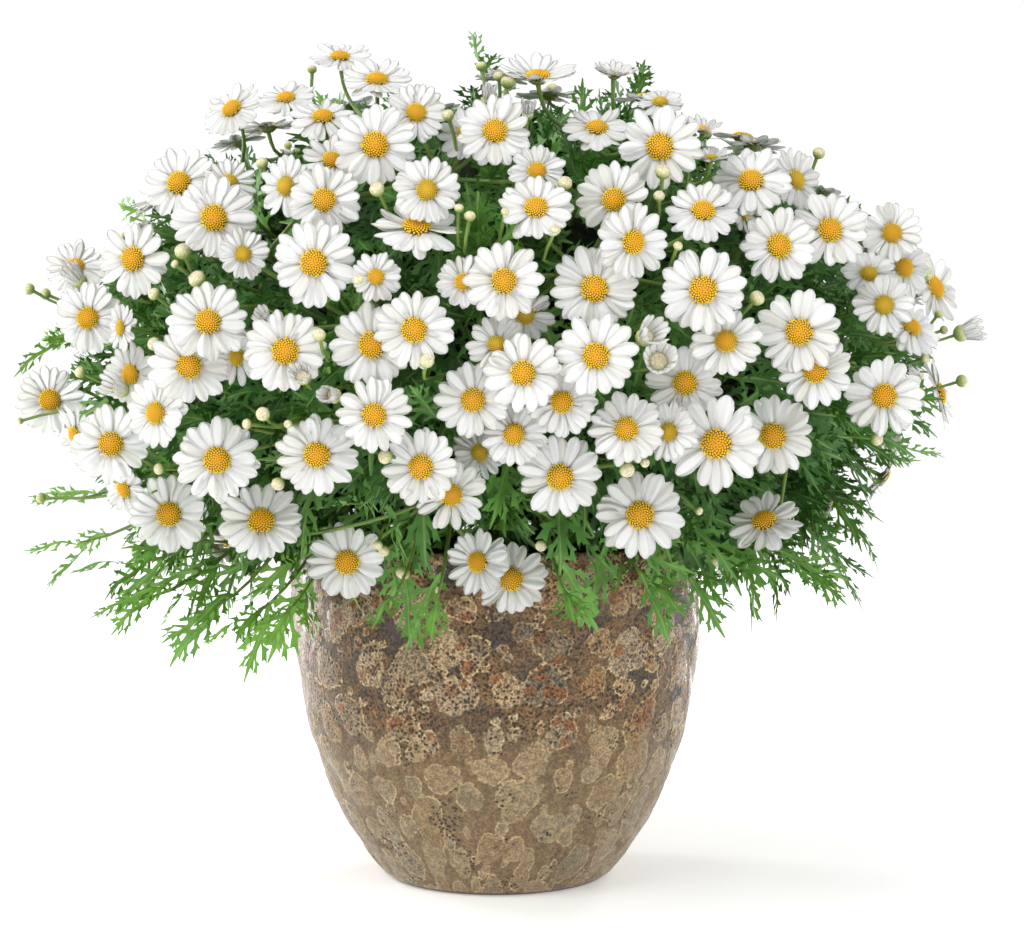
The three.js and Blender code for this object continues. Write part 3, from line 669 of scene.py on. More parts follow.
def modelDisc(florets, rimFlorets, sides, widen):
    heap = newHeap()
    addCopies(heap, modelDiscGround(), inPlace, [1])
    floret = modelFloret(sides)
    for k in range(florets):
        reach = math.sqrt((k + 0.5) / florets)
        height = discShape["domeHeight"] * math.sqrt(max(1 - reach * reach, 0))
        flat = flatAt(k * goldenAngle)
        outward = (flat * reach + up * (0.35 + height)).normalized()
        width = widen * between(discShape["floretWidths"], reach)
        tall = discShape["floretHeight"] * between(discShape["opening"], reach) * draw(0.8, 1.2)
        foot = flat * reach + up * height - outward * discShape["sunk"]
        floret["ring"][:] = reach
        addCopies(heap, floret, [frameMatrix(*squareTo(outward), outward, foot, (width, width, tall))], [1])
    floret["ring"][:] = 1.1
    for k in range(rimFlorets):  # the outermost ones lie open over the petals' roots
        flat = flatAt(fullTurn * (k + draw(-0.3, 0.3)) / rimFlorets)
        outward = (flat + up * draw(0.1, 0.5)).normalized()
        out, over = discShape["rimPlace"]
        width = discShape["rimWidth"] * widen
        scale = (width, width, draw(*discShape["rimHeights"]))
        seat = flat * out + up * over
        addCopies(heap, floret, [frameMatrix(*squareTo(outward), outward, seat, scale)], [1])
    return {key: np.concatenate(value) for key, value in heap.items() if key not in ("count", "tone", "age")}


fullDisc, lightDisc = (modelDisc(**discShape[kind]) for kind in ("full", "light"))


# The cup of bracts under a bloom, in shares of the bloom's radius

cupShape = {"size": (0.3, 0.3, 0.2), "segments": 10, "rings": 6, "cut": 0.1}


def modelCup():
    deselectAll()
    segments, rings = cupShape["segments"], cupShape["rings"]
    bpy.ops.mesh.primitive_uv_sphere_add(segments=segments, ring_count=rings, radius=1)
    cup = bpy.context.object
    editAll()
    bpy.ops.mesh.bisect(plane_co=(0, 0, cupShape["cut"]), plane_no=(0, 0, 1), clear_outer=True, use_fill=True)
    bpy.ops.object.mode_set(mode="OBJECT")
    for corner in cup.data.vertices:
        corner.co = [share * size for share, size in zip(corner.co, cupShape["size"])]
    return readPattern(cup, 3)


cupPattern = modelCup()
print("bloom patterns modelled: petal", len(fullPetals[0]["sizes"]), "faces, disc", len(fullDisc["sizes"]))


# Sprays: every bloom of one twig, with its stalks, is one piece

sprayShape = {
    "petalCounts": (17, 22),
    "petalRoot": 0.2,
    "petalHalfWidth": 0.18,
    "petalLengths": (0.9, 1.08),
    "petalWidths": (0.84, 1.14),
    "layer": 0.014,  # petals lie above and below each other in turn
    "tipHeights": (-0.06, 0.04),
    "droops": (-0.1, 0.06),
    "upright": 0.8,  # blooms that look up more than this hold their petals up
    "heldUp": (0.3, 0.55),
    "youngUnder": 0.0175,
    "youngShare": 0.6,
    "youngAge": 0.75,
    "discShare": 0.31,
    "cupShare": 0.8,
    "stalkRadius": 0.00125,
    "stalkKnots": 7,
    "stalkBow": (0.1, 0.45),  # how far the stalk runs straight on from the twig and from the bloom
    "twigWidth": 1.7,
    "twigRoot": 0.04,
}


def petalMatrices(bloom):
    index, radius, facing = bloom["index"], bloom["radius"], bloom["facing"]
    side, over = squareTo(facing)
    count = round(draw(*sprayShape["petalCounts"]))
    roll = fullTurn * chance(index, 11)
    tipHeight = between(sprayShape["tipHeights"], chance(index, 12))
    shape = [[], [], []]
    tones = [[], [], []]
    droop = draw(*sprayShape["droops"])
    if facing.z > sprayShape["upright"] and not isFar(bloom):
        droop = draw(*sprayShape["heldUp"])
    for i in range(count):
        outwards = swing(side, over, roll + fullTurn * (i + draw(-0.4, 0.4)) / count)
        layer = sprayShape["layer"] if i % 2 else -sprayShape["layer"]
        root = bloom["centre"] + outwards * sprayShape["petalRoot"] * radius + facing * layer * radius
        pitch = tipHeight - layer + droop + draw(-0.12, 0.12)
        twist = draw(-0.35, 0.35)
        along = (outwards + facing * pitch).normalized()
        across = along.cross(facing).normalized()
        across = swing(across, across.cross(along), twist).normalized()
        length = radius * (1 - sprayShape["petalRoot"]) * draw(*sprayShape["petalLengths"])
        width = radius * sprayShape["petalHalfWidth"] * draw(*sprayShape["petalWidths"])
        kind = dice.randrange(3)
        shape[kind].append(frameMatrix(across, along, across.cross(along), root, (width, length, width)))
        tones[kind].append(draw())
    return shape, tones


def stalkRoute(bloom, twig):  # a smooth bow from the twig up into the back of the bloom
    cup = bloom["centre"] - bloom["facing"] * placing["cupDepth"] * bloom["radius"] * sprayShape["cupShare"]
    reach = (cup - twig["top"]).length
    low, high = sprayShape["stalkBow"]
    lower = twig["top"] + twig["outward"] * low * reach
    upper = cup - bloom["facing"] * high * reach
    route = []
    last = sprayShape["stalkKnots"] - 1
    for i in range(last + 1):
        t = i / last
        a = twig["top"].lerp(lower, t)
        b = lower.lerp(upper, t)
        c = upper.lerp(cup, t)
        route.append(((a.lerp(b, t)).lerp(b.lerp(c, t), t), 1.15 - 0.3 * t + (0.35 if i == last else 0)))
    return route


def makeSpray(twig, number):
    heap = newHeap()
    for bloom in twig["blooms"]:
        facing, radius = bloom["facing"], bloom["radius"]
        young = radius < sprayShape["youngUnder"] and draw() < sprayShape["youngShare"]
        age = sprayShape["youngAge"] if young else draw(0, 0.15)
        shape, tones = petalMatrices(bloom)
        petals, disc = (lightPetals, lightDisc) if isFar(bloom) else (fullPetals, fullDisc)
        for pattern, matrices, tone in zip(petals, shape, tones):
            addCopies(heap, pattern, matrices, tone, [age] * len(matrices))
        turned = swing(*squareTo(facing), draw(0, fullTurn))
        seat = bloom["centre"] + facing * 0.01 * radius
        for pattern, size in ((disc, sprayShape["discShare"] * radius), (cupPattern, radius)):
            place = frameMatrix(turned, facing.cross(turned), facing, seat, (size,) * 3)
            addCopies(heap, pattern, [place], [1], [age])
    foot, top, wide = twig["foot"], twig["top"], sprayShape["twigWidth"]
    routes = [stalkRoute(bloom, twig) for bloom in twig["blooms"]]
    base = foot - twig["outward"] * sprayShape["twigRoot"]
    routes.append([(base, wide * 1.2), (foot, wide), (top + twig["outward"] * 0.002, wide * 0.9)])
    addCopies(heap, readPattern(drawStems(routes, sprayShape["stalkRadius"]), 4), inPlace, [1])
    name = "spray_%02d" % number
    makePiece(name, heap, bloomMaterials, ["bloom_" + name])


for number, twig in enumerate(twigs, 1):
    makeSpray(twig, number)
print("sprays made:", len(twigs))


# Leaves: one half is drawn from the rib by extruding edges into fingers and teeth, then mirrored

leafShape = {
    "ribHalf": 0.026,
    "ribTip": 0.4,  # share of the rib's width that is left at the tip
    "stations": (0, 0.12, 0.20, 0.31, 0.39, 0.50, 0.58, 0.68, 0.75, 0.85, 1),
    "lobes": (  # row of the rib, then reach, forward lean in degrees and width at the shoulder
        (1, 0.15, 30, 0.10), (3, 0.27, 40, 0.15), (5, 0.30, 46, 0.16), (7, 0.24, 52, 0.13),
    ),
    "fingerSteps": (0.35, 0.28, 0.37),
    "fingerNarrow": 0.385,
    "fingerFlare": 1.35,
    "tooth": 0.21,
    "endTooth": (0.05, 0.07),
    "kinds": ((0, 1.0), (1, 0.8), (2, 1.15)),
    "cup": 0.35,
    "curl": 0.5,
    "ripple": 0.03,
    "sway": 0.02,
}


def growEdge(leaf, corners, move, share):  # extrudes one edge and sets the new edge's length
    mesh = leaf.data
    bpy.ops.object.mode_set(mode="OBJECT")
    for part in (mesh.polygons, mesh.edges):
        part.foreach_set("select", [False] * len(part))
    for corner in mesh.vertices:
        corner.select = corner.index in corners
    bpy.ops.object.mode_set(mode="EDIT")
    bpy.ops.mesh.extrude_region_move(TRANSFORM_OT_translate={"value": move})
    if share:
        middle = sum((mesh.vertices[i].co for i in corners), Vector()) / 2 + Vector(move)
        bpy.ops.transform.resize(value=(share,) * 3, center_override=middle)
    else:
        bpy.ops.mesh.merge(type="CENTER")
    bpy.ops.object.mode_set(mode="OBJECT")
    return [corner.index for corner in mesh.vertices if corner.select]


def cornersNear(leaf, places):
    corners = leaf.data.vertices
    return [min(corners, key=lambda corner: (corner.co - Vector(place)).length).index for place in places]


def ribWidth(y):  # the rib widens in the middle of the leaf
    return leafShape["ribHalf"] * (0.7 + 1.3 * math.sin(math.pi * min(y, 0.9)))


def growLobe(leaf, row, reach, lean, wide, slender):
    reach = reach * slender * draw(0.85, 1.15)
    lean = math.radians(lean + draw(-7, 7))
    ahead = flatAt(lean)
    beside = Vector((-ahead.y, ahead.x, 0))
    base = cornersNear(leaf, [(ribWidth(y), y, 0) for y in leafShape["stations"][row:row + 2]])
    length = (leaf.data.vertices[base[0]].co - leaf.data.vertices[base[1]].co).length
    first, second, third = leafShape["fingerSteps"]
    narrow = growEdge(leaf, base, ahead * reach * first, leafShape["fingerNarrow"] * wide / length)
    shoulder = growEdge(leaf, narrow, ahead * reach * second, leafShape["fingerFlare"])
    growEdge(leaf, shoulder, ahead * reach * third, 0)
    for turned in (1, -1):  # a tooth on each side of the finger
        corners = sorted(narrow + shoulder, key=lambda i: -turned * leaf.data.vertices[i].co.dot(beside))[:2]
        growEdge(leaf, corners, (ahead * 0.8 + beside * turned).normalized() * reach * leafShape["tooth"], 0)


def modelLeaf(kind, slender):
    deselectAll()
    bpy.ops.mesh.primitive_plane_add(size=1, location=(0.5, 0.5, 0))
    leaf = bpy.context.object
    bpy.ops.object.transform_apply(location=True)
    bpy.ops.object.mode_set(mode="EDIT")
    bpy.ops.mesh.select_mode(type="VERT")
    for station in leafShape["stations"][1:-1]:
        bpy.ops.mesh.select_all(action="SELECT")
        bpy.ops.mesh.bisect(plane_co=(0, station, 0), plane_no=(0, 1, 0))
    bpy.ops.object.mode_set(mode="OBJECT")
    for corner in leaf.data.vertices:
        if corner.co.x > 0.5:
            tip = corner.co.y > 0.99
            corner.co.x = leafShape["ribHalf"] * leafShape["ribTip"] if tip else ribWidth(corner.co.y)
    for lobe in leafShape["lobes"]:
        growLobe(leaf, *lobe, slender)
    out, ahead = leafShape["endTooth"]
    end = cornersNear(leaf, [(ribWidth(y), y, 0) for y in leafShape["stations"][8:10]])
    growEdge(leaf, end, (out * slender, ahead, 0), 0)
    mirror = leaf.modifiers.new("mirror", "MIRROR")
    mirror.merge_threshold = 0.001
    bpy.context.view_layer.objects.active = leaf
    bpy.ops.object.modifier_apply(modifier="mirror")
    for corner in leaf.data.vertices:
        x, y = corner.co.x, corner.co.y
        ripple = leafShape["ripple"] * math.sin(9 * y + 20 * abs(x) + kind)
        corner.co.z = leafShape["cup"] * abs(x) - leafShape["curl"] * x * x + ripple
        corner.co.x += leafShape["sway"] * math.sin(7 * y + kind * 2)
    layer = leaf.data.uv_layers[0]
    for loop in leaf.data.loops:
        spot = leaf.data.vertices[loop.vertex_index].co
        layer.data[loop.index].uv = (spot.x + 0.5, spot.y)
    turnOutwards()
    return readPattern(leaf, 0)


leafPatterns = [modelLeaf(*kind) for kind in leafShape["kinds"]]
print("leaf patterns modelled:", len(leafPatterns[0]["sizes"]), "faces")


# Materials of the foliage

def leafNodes(tree):  # cut green leaves: satin, blue-green when old, yellow-green when young, a paler rib
    across = addNode(tree, "SeparateXYZ", [addNode(tree, "UVMap", uv_map="along")])
    tone = addNode(tree, "Attribute", attribute_name="tone", out="Fac")
    age = addNode(tree, "Attribute", attribute_name="age", out="Fac")
    old = addNode(tree, "ValToRGB", [tone], [(0, "#2d5224"), (1, "#669a45"), (0.5, "#467734")])
    young = addNode(tree, "Mix", (age, old, "#79ad3c"), data_type="RGBA")
    blotch = addNode(tree, "TexNoise", {"Vector": addNode(tree, "TexCoord", out="Object"), "Scale": 140, "Detail": 3})
    shade = addNode(tree, "MapRange", (blotch, 0.3, 0.7, 0.82, 1.15))
    mottled = addNode(tree, "VectorMath", {0: young, "Scale": shade}, operation="SCALE")
    offset = addNode(tree, "Math", [addNode(tree, "Math", (across, 0.5), operation="SUBTRACT")], operation="ABSOLUTE")
    rib = addNode(tree, "MapRange", (offset, 0.004, 0.016, 0.45, 0))
    return {
        "Base Color": addNode(tree, "Mix", (rib, mottled, "#9dbb6a"), data_type="RGBA"), "Roughness": 0.48,
        "Specular IOR Level": 0.4, "Normal": addNode(tree, "Bump", {"Strength": 0.4, "Distance": 0.0006, "Height": blotch}),
    }


def crownShadeNodes(tree):  # the dark inside of the bush
    clumps = addNode(tree, "TexNoise", {"Vector": addNode(tree, "TexCoord", out="Object"), "Scale": 110, "Detail": 4})
    dark = addNode(tree, "ValToRGB", [clumps], [(0.35, "#0c150a"), (0.7, "#2a4519"), (0.55, "#182a10")])
    bump = addNode(tree, "Bump", {"Strength": 1, "Distance": 0.006, "Height": clumps})
    return {"Base Color": dark, "Roughness": 0.9, "Normal": bump}


def budNodes(tree):  # shut buds: pale green scales about 2 mm across, papery brown edges, cream tip
    at = addNode(tree, "TexCoord", out="Object")
    scales = addNode(tree, "TexVoronoi", {"Vector": at, "Scale": 520}, feature="DISTANCE_TO_EDGE")
    green = addNode(tree, "ValToRGB", [addNode(tree, "Attribute", attribute_name="ring", out="Fac")],
                    [(0, "#6f8d40"), (1, "#c4a684"), (0.4, "#9aad62"), (0.62, "#cfd09a"), (0.86, "#e6e0bd")])
    edge = addNode(tree, "MapRange", (scales, 0, 0.1, 0.55, 0))
    skin = addNode(tree, "Mix", (edge, green, "#8f6f4c"), data_type="RGBA")
    bump = addNode(tree, "Bump", {"Strength": 0.6, "Distance": 0.0005, "Height": scales})
    return {"Base Color": skin, "Roughness": 0.55, "Normal": bump}


leafGreen = makeMaterial("leafGreen", leafNodes)
crownShade = makeMaterial("crownShade", crownShadeNodes)
budScales = makeMaterial("budScales", budNodes)
leafMaterials = [leafGreen, stalkGreen]


# Leafy shoots grow from the dark core and end among the blooms

potRoom = {"height": 0.214, "radius": 0.14}
shootShape = {
    "shoots": 300,
    "lowest": -0.86,
    "rootShare": 0.58,
    "tipShares": (0.76, 0.92),
    "topShort": 0.13,
    "wander": 0.08,
    "bow": 0.15,
    "knots": 5,
    "stemRadius": 0.0013,
    "leaves": 10,
    "leafLengths": (0.060, 0.034),
    "leanDegrees": (68, 22),
    "tipLean": 0.12,
    "leafTurn": 2.4,
    "sags": (0.05, 0.28),
    "lowBelow": -0.35,
    "lowSag": 0.12,  # more for shoots that start lower than that
    "lowestLeaf": 0.19,
}


def addLeaf(heap, foot, along, facing, length, kind, tone, age, sag):
    across = along.cross(facing).normalized()
    lift = across.cross(along).normalized()
    place = frameMatrix(across, along, lift, foot, (length,) * 3)
    heap["waiting"][kind].append((place, tone, age, sag * length))


def newLeafHeap():
    return newHeap() | {"waiting": [[], [], []], "stems": []}


def growShoot(heap, foot, tip, outward, leaves, lengths, tone, age, sag, start=0.12):
    bow = outward * shootShape["bow"] * (tip - foot).length
    last = shootShape["knots"] - 1
    shares = [i / last for i in range(last + 1)]
    heap["stems"].append([(foot.lerp(tip, t) + bow * 4 * t * (1 - t), 1.2 - 0.7 * t) for t in shares])
    first = draw(0, fullTurn)
    for i in range(leaves):
        t = start + (1 - start) * i / (leaves - 1)
        place = foot.lerp(tip, t) + bow * 4 * t * (1 - t)
        direction = ((tip - foot) + bow * 4 * (1 - 2 * t)).normalized()
        aside = swing(*squareTo(direction), first + i * shootShape["leafTurn"] + draw(-0.3, 0.3))
        lean = math.radians(between(shootShape["leanDegrees"], t) * draw(0.85, 1.15))
        if i == leaves - 1:
            lean = shootShape["tipLean"]
        along = swing(direction, aside, lean).normalized()
        facing = direction - along * direction.dot(along)
        if facing.length < 0.2:
            facing = outward + up * 0.6
        length = between(lengths, t) * draw(0.82, 1.18)
        leafTone = min(max(tone + draw(-0.3, 0.3), 0), 1)
        addLeaf(heap, place, along, facing, length, dice.randrange(3), leafTone, age, sag * draw(0.6, 1.4))


def insidePot(point):
    return point.z < potRoom["height"] and math.hypot(point.x, point.y) < potRoom["radius"]


def growShoots():
    count, wander = shootShape["shoots"], shootShape["wander"]
    heaps = [newLeafHeap(), newLeafHeap()]
    for step in range(count):
        direction = spiral(step, count, shootShape["lowest"])
        aside = Vector([draw(-wander, wander) for axis in range(3)])
        foot = domeAt(direction, shootShape["rootShare"])
        reach = draw(*shootShape["tipShares"]) - shootShape["topShort"] * max(direction.z, 0)
        tip = domeAt((direction + aside).normalized(), reach)
        if insidePot(tip) or insidePot(foot.lerp(tip, 0.6)):
            continue
        sag = draw(*shootShape["sags"])
        if direction.z < shootShape["lowBelow"]:
            sag += shootShape["lowSag"]
        growShoot(heaps[step % 2], foot, tip, domeNormal(direction), shootShape["leaves"],
                  shootShape["leafLengths"], draw(0.3, 0.7), 0.25 * draw() ** 2, sag)
    return heaps


# Fronds at the edge of the bush: foot and tip across and down in the photo's pixels, then depth in mm

seenFronds = [
    (108, 482, 34, 520, 0), (98, 512, 56, 580, 0), (160, 556, 104, 570, -90), (156, 586, 114, 618, -100),
    (182, 560, 174, 612, -90), (218, 575, 206, 650, -110), (258, 588, 246, 648, -130),
    (282, 570, 306, 652, -150), (396, 566, 398, 620, -192), (432, 572, 446, 622, -192),
    (560, 566, 568, 616, -192), (640, 560, 664, 604, -188), (678, 552, 716, 606, -160),
    (732, 530, 722, 580, -120), (766, 535, 786, 584, -110), (790, 535, 812, 606, -90),
    (790, 500, 844, 546, -60), (794, 468, 846, 508, -40), (838, 425, 858, 484, -20),
    (868, 438, 888, 498, 0), (876, 432, 916, 466, 20), (902, 366, 960, 380, 30),
    (140, 232, 118, 198, 40), (486, 90, 478, 52, 40), (636, 118, 626, 84, 30), (66, 334, 34, 352, 10),
]
frondShape = {
    "leaves": 6,
    "leafLengths": (0.050, 0.036),
    "sag": 0.22,
    "forward": 0.012,
    "under": 0.014,
    "endFrom": 0.45,  # the end leaf reaches on from here to the tip
    "firstLeaf": 0.3,
    # the fronds' leaves are a little paler than the other shoots': painted light, for edge leaves lit through from
    # behind
    "tone": 0.6,
    "leftOf": 360,  # further left in the photo the fronds are mixed more towards yellow-green
    "ages": ((0.35, 0.85), (0.15, 0.45)),
    "lowestLeaf": 0.13,
}


def growFronds():
    heap = newLeafHeap()
    eye = photoView["eye"]
    for footAcross, footDown, tipAcross, tipDown, depth in seenFronds:
        deep = depth / 1000 - eye.y
        foot = eye + sightLine(footAcross, footDown) * deep
        tip = eye + sightLine(tipAcross, tipDown) * (deep - frondShape["forward"])
        place = domeScaled(foot).normalized()
        root = crownAt(place) - domeNormal(place) * frondShape["under"]
        last = foot.lerp(tip, frondShape["endFrom"])
        age = draw(*frondShape["ages"][0 if tipAcross < frondShape["leftOf"] else 1])
        growShoot(heap, root, last, domeNormal(place), frondShape["leaves"], frondShape["leafLengths"],
                  frondShape["tone"], age, frondShape["sag"], frondShape["firstLeaf"])
    return heap


# A skirt of drooping shoots hangs over the rim all round

skirtShape = {
    "shoots": 46,
    "heights": (-0.62, -0.3),
    "rootShare": 0.62,
    "reach": (0.84, 0.94),
    "drop": 0.045,
    "leaves": 7,
    "leafLengths": (0.052, 0.034),
    "tone": 0.5,
    "ages": (0.1, 0.45),
    "sag": 0.35,
    "frontHalf": 0.75,
    "lowestLeaf": 0.165,
}


def growSkirt():
    heap = newLeafHeap()
    for i in range(skirtShape["shoots"]):
        angle = fullTurn * (i + draw(0, 0.7)) / skirtShape["shoots"]
        z = draw(*skirtShape["heights"])
        direction = flatAt(angle, math.sqrt(1 - z * z), z)
        foot = domeAt(direction, skirtShape["rootShare"])
        tip = domeAt(direction, draw(*skirtShape["reach"]))
        tip.z -= draw(0, skirtShape["drop"])
        front = direction.y < 0 and abs(direction.x) < skirtShape["frontHalf"]  # the front has its own fronds
        if insidePot(tip) or front:
            continue
        growShoot(heap, foot, tip, domeNormal(direction), skirtShape["leaves"], skirtShape["leafLengths"],
                  skirtShape["tone"], draw(*skirtShape["ages"]), skirtShape["sag"])
    return heap


leafRoom = {
    "margin": 0.0235,  # how far leaves may reach beyond the box of the CAD part
    "behind": 0.002,  # how much room a bloom's face has behind it, before it and beside it
    "before": 0.1,
    "beside": 1.02,
    "marks": ((0, 0.5), (0, 0.75), (0, 1), (-0.3, 0.65), (0.3, 0.65)),  # points of a leaf that are looked at
}


def leavesInTheWay(leaves, lowest):  # those that would cover a bloom's face, hang too low or reach too far
    marks = np.array([(*mark, 0, 1) for mark in leafRoom["marks"]])
    points = np.einsum("kij,nj->kni", stacked([leaf[0] for leaf in leaves]), marks)[:, :, :3]
    points[:, :, 2] -= np.array([leaf[3] for leaf in leaves])[:, None] * marks[None, :, 1] ** 2
    covers = points[:, 2, 2] < lowest
    low, high = (np.array(corner) for corner in cadBox)
    margin = leafRoom["margin"]
    covers |= ((points < low - margin) | (points > high + margin)).any((1, 2))
    for bloom in blooms:
        away = points - np.array(bloom["centre"])
        height = away @ np.array(bloom["facing"])
        across = np.sqrt(np.maximum((away**2).sum(2) - height**2, 0))
        level = (height > -leafRoom["behind"]) & (height < leafRoom["before"])
        covers |= (level & (across < bloom["radius"] * leafRoom["beside"])).any(1)
    return covers


def countTriangles(piece):
    return sum(len(face.vertices) - 2 for face in piece.data.polygons)


def finishLeaves(heap, name, lowest):
    waiting, stems = heap.pop("waiting"), heap.pop("stems")
    for pattern, leaves in zip(leafPatterns, waiting):
        kept = [leaf for leaf, covers in zip(leaves, leavesInTheWay(leaves, lowest)) if not covers]
        addCopies(heap, pattern, *zip(*kept))
    addCopies(heap, readPattern(drawStems(stems, shootShape["stemRadius"], 0), 1), inPlace, [1])
    print(name, countTriangles(makePiece(name, heap, leafMaterials)), "triangles")


# Buds on thin stalks, and blooms that are only half open

budShape = {
    "segments": 10,
    "rings": 8,
    "flatter": (0.86, 0.95),  # upper and lower half
    "foldDepth": 0.16,
    "foldReach": 0.45,
    "rootShare": 0.68,
    "rootSink": 0.01,
    "stalkRadius": 0.0008,
    "seat": 0.8,  # the stalk ends this share of the radius under the middle
    "farBuds": 34,
    "farLowest": -0.35,
    "farShares": (0.9, 0.97),
    "farRadii": (0.0028, 0.0048),
    "cupSeat": 0.7,
    "cupSize": 0.8,
    "openPetals": 13,
    "openRoot": 0.6,
    "openWidth": 0.36,
    "openLengths": (1.7, 2.3),
    "openAge": 0.8,
}
seenBuds = [  # across, down and width in the photo's pixels
    (29, 289, 12), (45, 294, 12), (262, 163, 13), (183, 251, 18), (197, 279, 18), (154, 294, 13),
    (175, 264, 9), (312, 69, 10), (448, 115, 13), (377, 189, 16), (481, 66, 11), (508, 82, 15),
    (499, 76, 12), (459, 208, 10), (470, 216, 12), (565, 183, 15), (505, 212, 9), (555, 230, 12),
    (663, 172, 16), (689, 153, 12), (659, 196, 12), (678, 246, 10), (819, 153, 13), (926, 273, 15),
    (757, 298, 16), (939, 314, 9), (944, 330, 9), (962, 381, 13), (925, 358, 10), (877, 439, 14),
    (154, 344, 14), (263, 414, 15), (247, 424, 11), (288, 424, 9), (319, 335, 14), (359, 280, 13),
    (80, 372, 12), (41, 498, 11), (159, 469, 12), (136, 550, 12), (147, 583, 12), (145, 597, 15),
    (250, 571, 13), (278, 484, 14), (385, 457, 15), (384, 551, 12), (378, 545, 10), (403, 573, 15),
    (438, 590, 18), (490, 614, 13), (541, 546, 12), (656, 581, 12), (716, 561, 15), (699, 511, 9),
    (627, 470, 16), (645, 463, 10), (427, 361, 15), (20, 421, 7),
]
seenOpening = [  # across, down and width, then how far the petals are open
    (75, 276, 20, 0.25), (116, 387, 22, 0.3), (301, 375, 20, 0.3), (331, 395, 20, 0.12), (342, 606, 14, 0.1),
    (649, 334, 24, 0.4), (659, 360, 27, 0.4), (969, 331, 22, 0.3), (488, 95, 15, 0.2), (528, 110, 15, 0.2),
    (264, 319, 18, 0.3),
]


def modelBud():  # a ball a little flattened at the top, with a fold down into the middle
    deselectAll()
    segments, rings = budShape["segments"], budShape["rings"]
    bpy.ops.mesh.primitive_uv_sphere_add(segments=segments, ring_count=rings, radius=1)
    bud = bpy.context.object
    upper, lower = budShape["flatter"]
    for corner in bud.data.vertices:
        reach = math.hypot(corner.co.x, corner.co.y)
        if corner.co.z > 0:
            fold = budShape["foldDepth"] * max(0, 1 - reach / budShape["foldReach"])
            corner.co.z = corner.co.z * upper - fold
        else:
            corner.co.z *= lower
    pattern = readPattern(bud, 2)
    pattern["ring"] = np.clip(pattern["points"][:, 2] / 1.9 + 0.5, 0, 1)
    return pattern


def budFacing(centre):
    outward = domeNormal(domeScaled(centre).normalized())
    return (outward + Vector((draw(-0.3, 0.3), draw(-0.3, 0.3), draw(0.1, 0.7)))).normalized()


def budPlaces():  # centre, radius and how far it is open
    places = []
    for across, down, width, opening in [(*row, 0) for row in seenBuds] + seenOpening:
        depth, point = meetDome(sightLine(across, down))
        places.append((point, width / 2 / photoView["focal"] * depth, opening))
    farBuds = budShape["farBuds"]
    for i in range(farBuds):
        direction = spiral(i if i % 2 else 2 * i, 2 * farBuds, budShape["farLowest"])
        direction.y = abs(direction.y)
        places.append((domeAt(direction, draw(*budShape["farShares"])), draw(*budShape["farRadii"]), 0))
    return places


def addOpenBud(heap, pattern, centre, radius, facing, opening):
    side, over = squareTo(facing)
    seat = centre - facing * radius * budShape["cupSeat"]
    cup = frameMatrix(side, over, facing, seat, (radius * budShape["cupSize"],) * 3)
    addCopies(heap, pattern, [cup], [draw()])
    petals = []
    count, width = budShape["openPetals"], radius * budShape["openWidth"]
    for i in range(count):
        outwards = swing(side, over, fullTurn * (i + draw(-0.2, 0.2)) / count)
        along = (outwards * (opening + draw(-0.08, 0.08)) + facing).normalized()
        across = along.cross(outwards).normalized()
        root = seat + outwards * radius * budShape["openRoot"]
        scale = (width, radius * draw(*budShape["openLengths"]), width)
        petals.append(frameMatrix(-across, along, -outwards, root, scale))
    tones = [draw(0.2, 0.9) for petal in petals]
    addCopies(heap, fullPetals[0], petals, tones, [budShape["openAge"]] * count)


def growBuds():
    heap = newHeap()
    pattern = modelBud()
    routes = []
    for centre, radius, opening in budPlaces():
        facing = budFacing(centre)
        foot = domeAt(domeScaled(centre).normalized(), budShape["rootShare"]) - up * budShape["rootSink"]
        if opening:
            addOpenBud(heap, pattern, centre, radius, facing, opening)
        else:
            place = frameMatrix(*squareTo(facing), facing, centre, (radius,) * 3)
            addCopies(heap, pattern, [place], [draw()])
        reach, seat = (centre - foot).length, radius * budShape["seat"]
        routes.append([
            (foot, 1.3),
            (foot.lerp(centre, 0.5) + Vector((draw(-0.1, 0.1), draw(-0.1, 0.1), 0)) * reach, 1.1),
            (centre - facing * (seat + 0.2 * reach), 1.0),
            (centre - facing * seat, 1.4),
        ])
    addCopies(heap, readPattern(drawStems(routes, budShape["stalkRadius"]), 1), inPlace, [1])
    makePiece("buds", heap, [petalSkin, stalkGreen, budScales])


coreShape = {"subdivisions": 5, "share": 0.84, "rough": 0.05, "waves": 19}


def makeCore():  # the shaded inside of the bush, which the shoots hide
    deselectAll()
    bpy.ops.mesh.primitive_ico_sphere_add(subdivisions=coreShape["subdivisions"], radius=1)
    core = bpy.context.object
    core.name = "crown_core"
    for corner in core.data.vertices:
        direction = corner.co.normalized()
        a, b, c = direction * coreShape["waves"]
        rough = math.sin(a + 2 * b) * math.sin(b - 1.7 * c)
        rough += 0.5 * math.sin(2.3 * a - c) * math.cos(2.9 * b + a)
        inner = crownAt(direction) - bush["centre"]
        corner.co = bush["centre"] + inner * (coreShape["share"] + coreShape["rough"] * rough)
    core.data.materials.append(crownShade)
    bpy.ops.object.shade_smooth()
    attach(core, "root")
    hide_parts("foliage")


makeCore()
for letter, heap in zip("ab", growShoots()):
    finishLeaves(heap, "leafy_shoots_" + letter, shootShape["lowestLeaf"])
finishLeaves(growFronds(), "fronds", frondShape["lowestLeaf"])
finishLeaves(growSkirt(), "skirt_shoots", skirtShape["lowestLeaf"])
growBuds()
print("foliage and buds grown")


# Pot: its wall section is spun round the axis, then takes the hammered relief and the glaze's pebbled patches

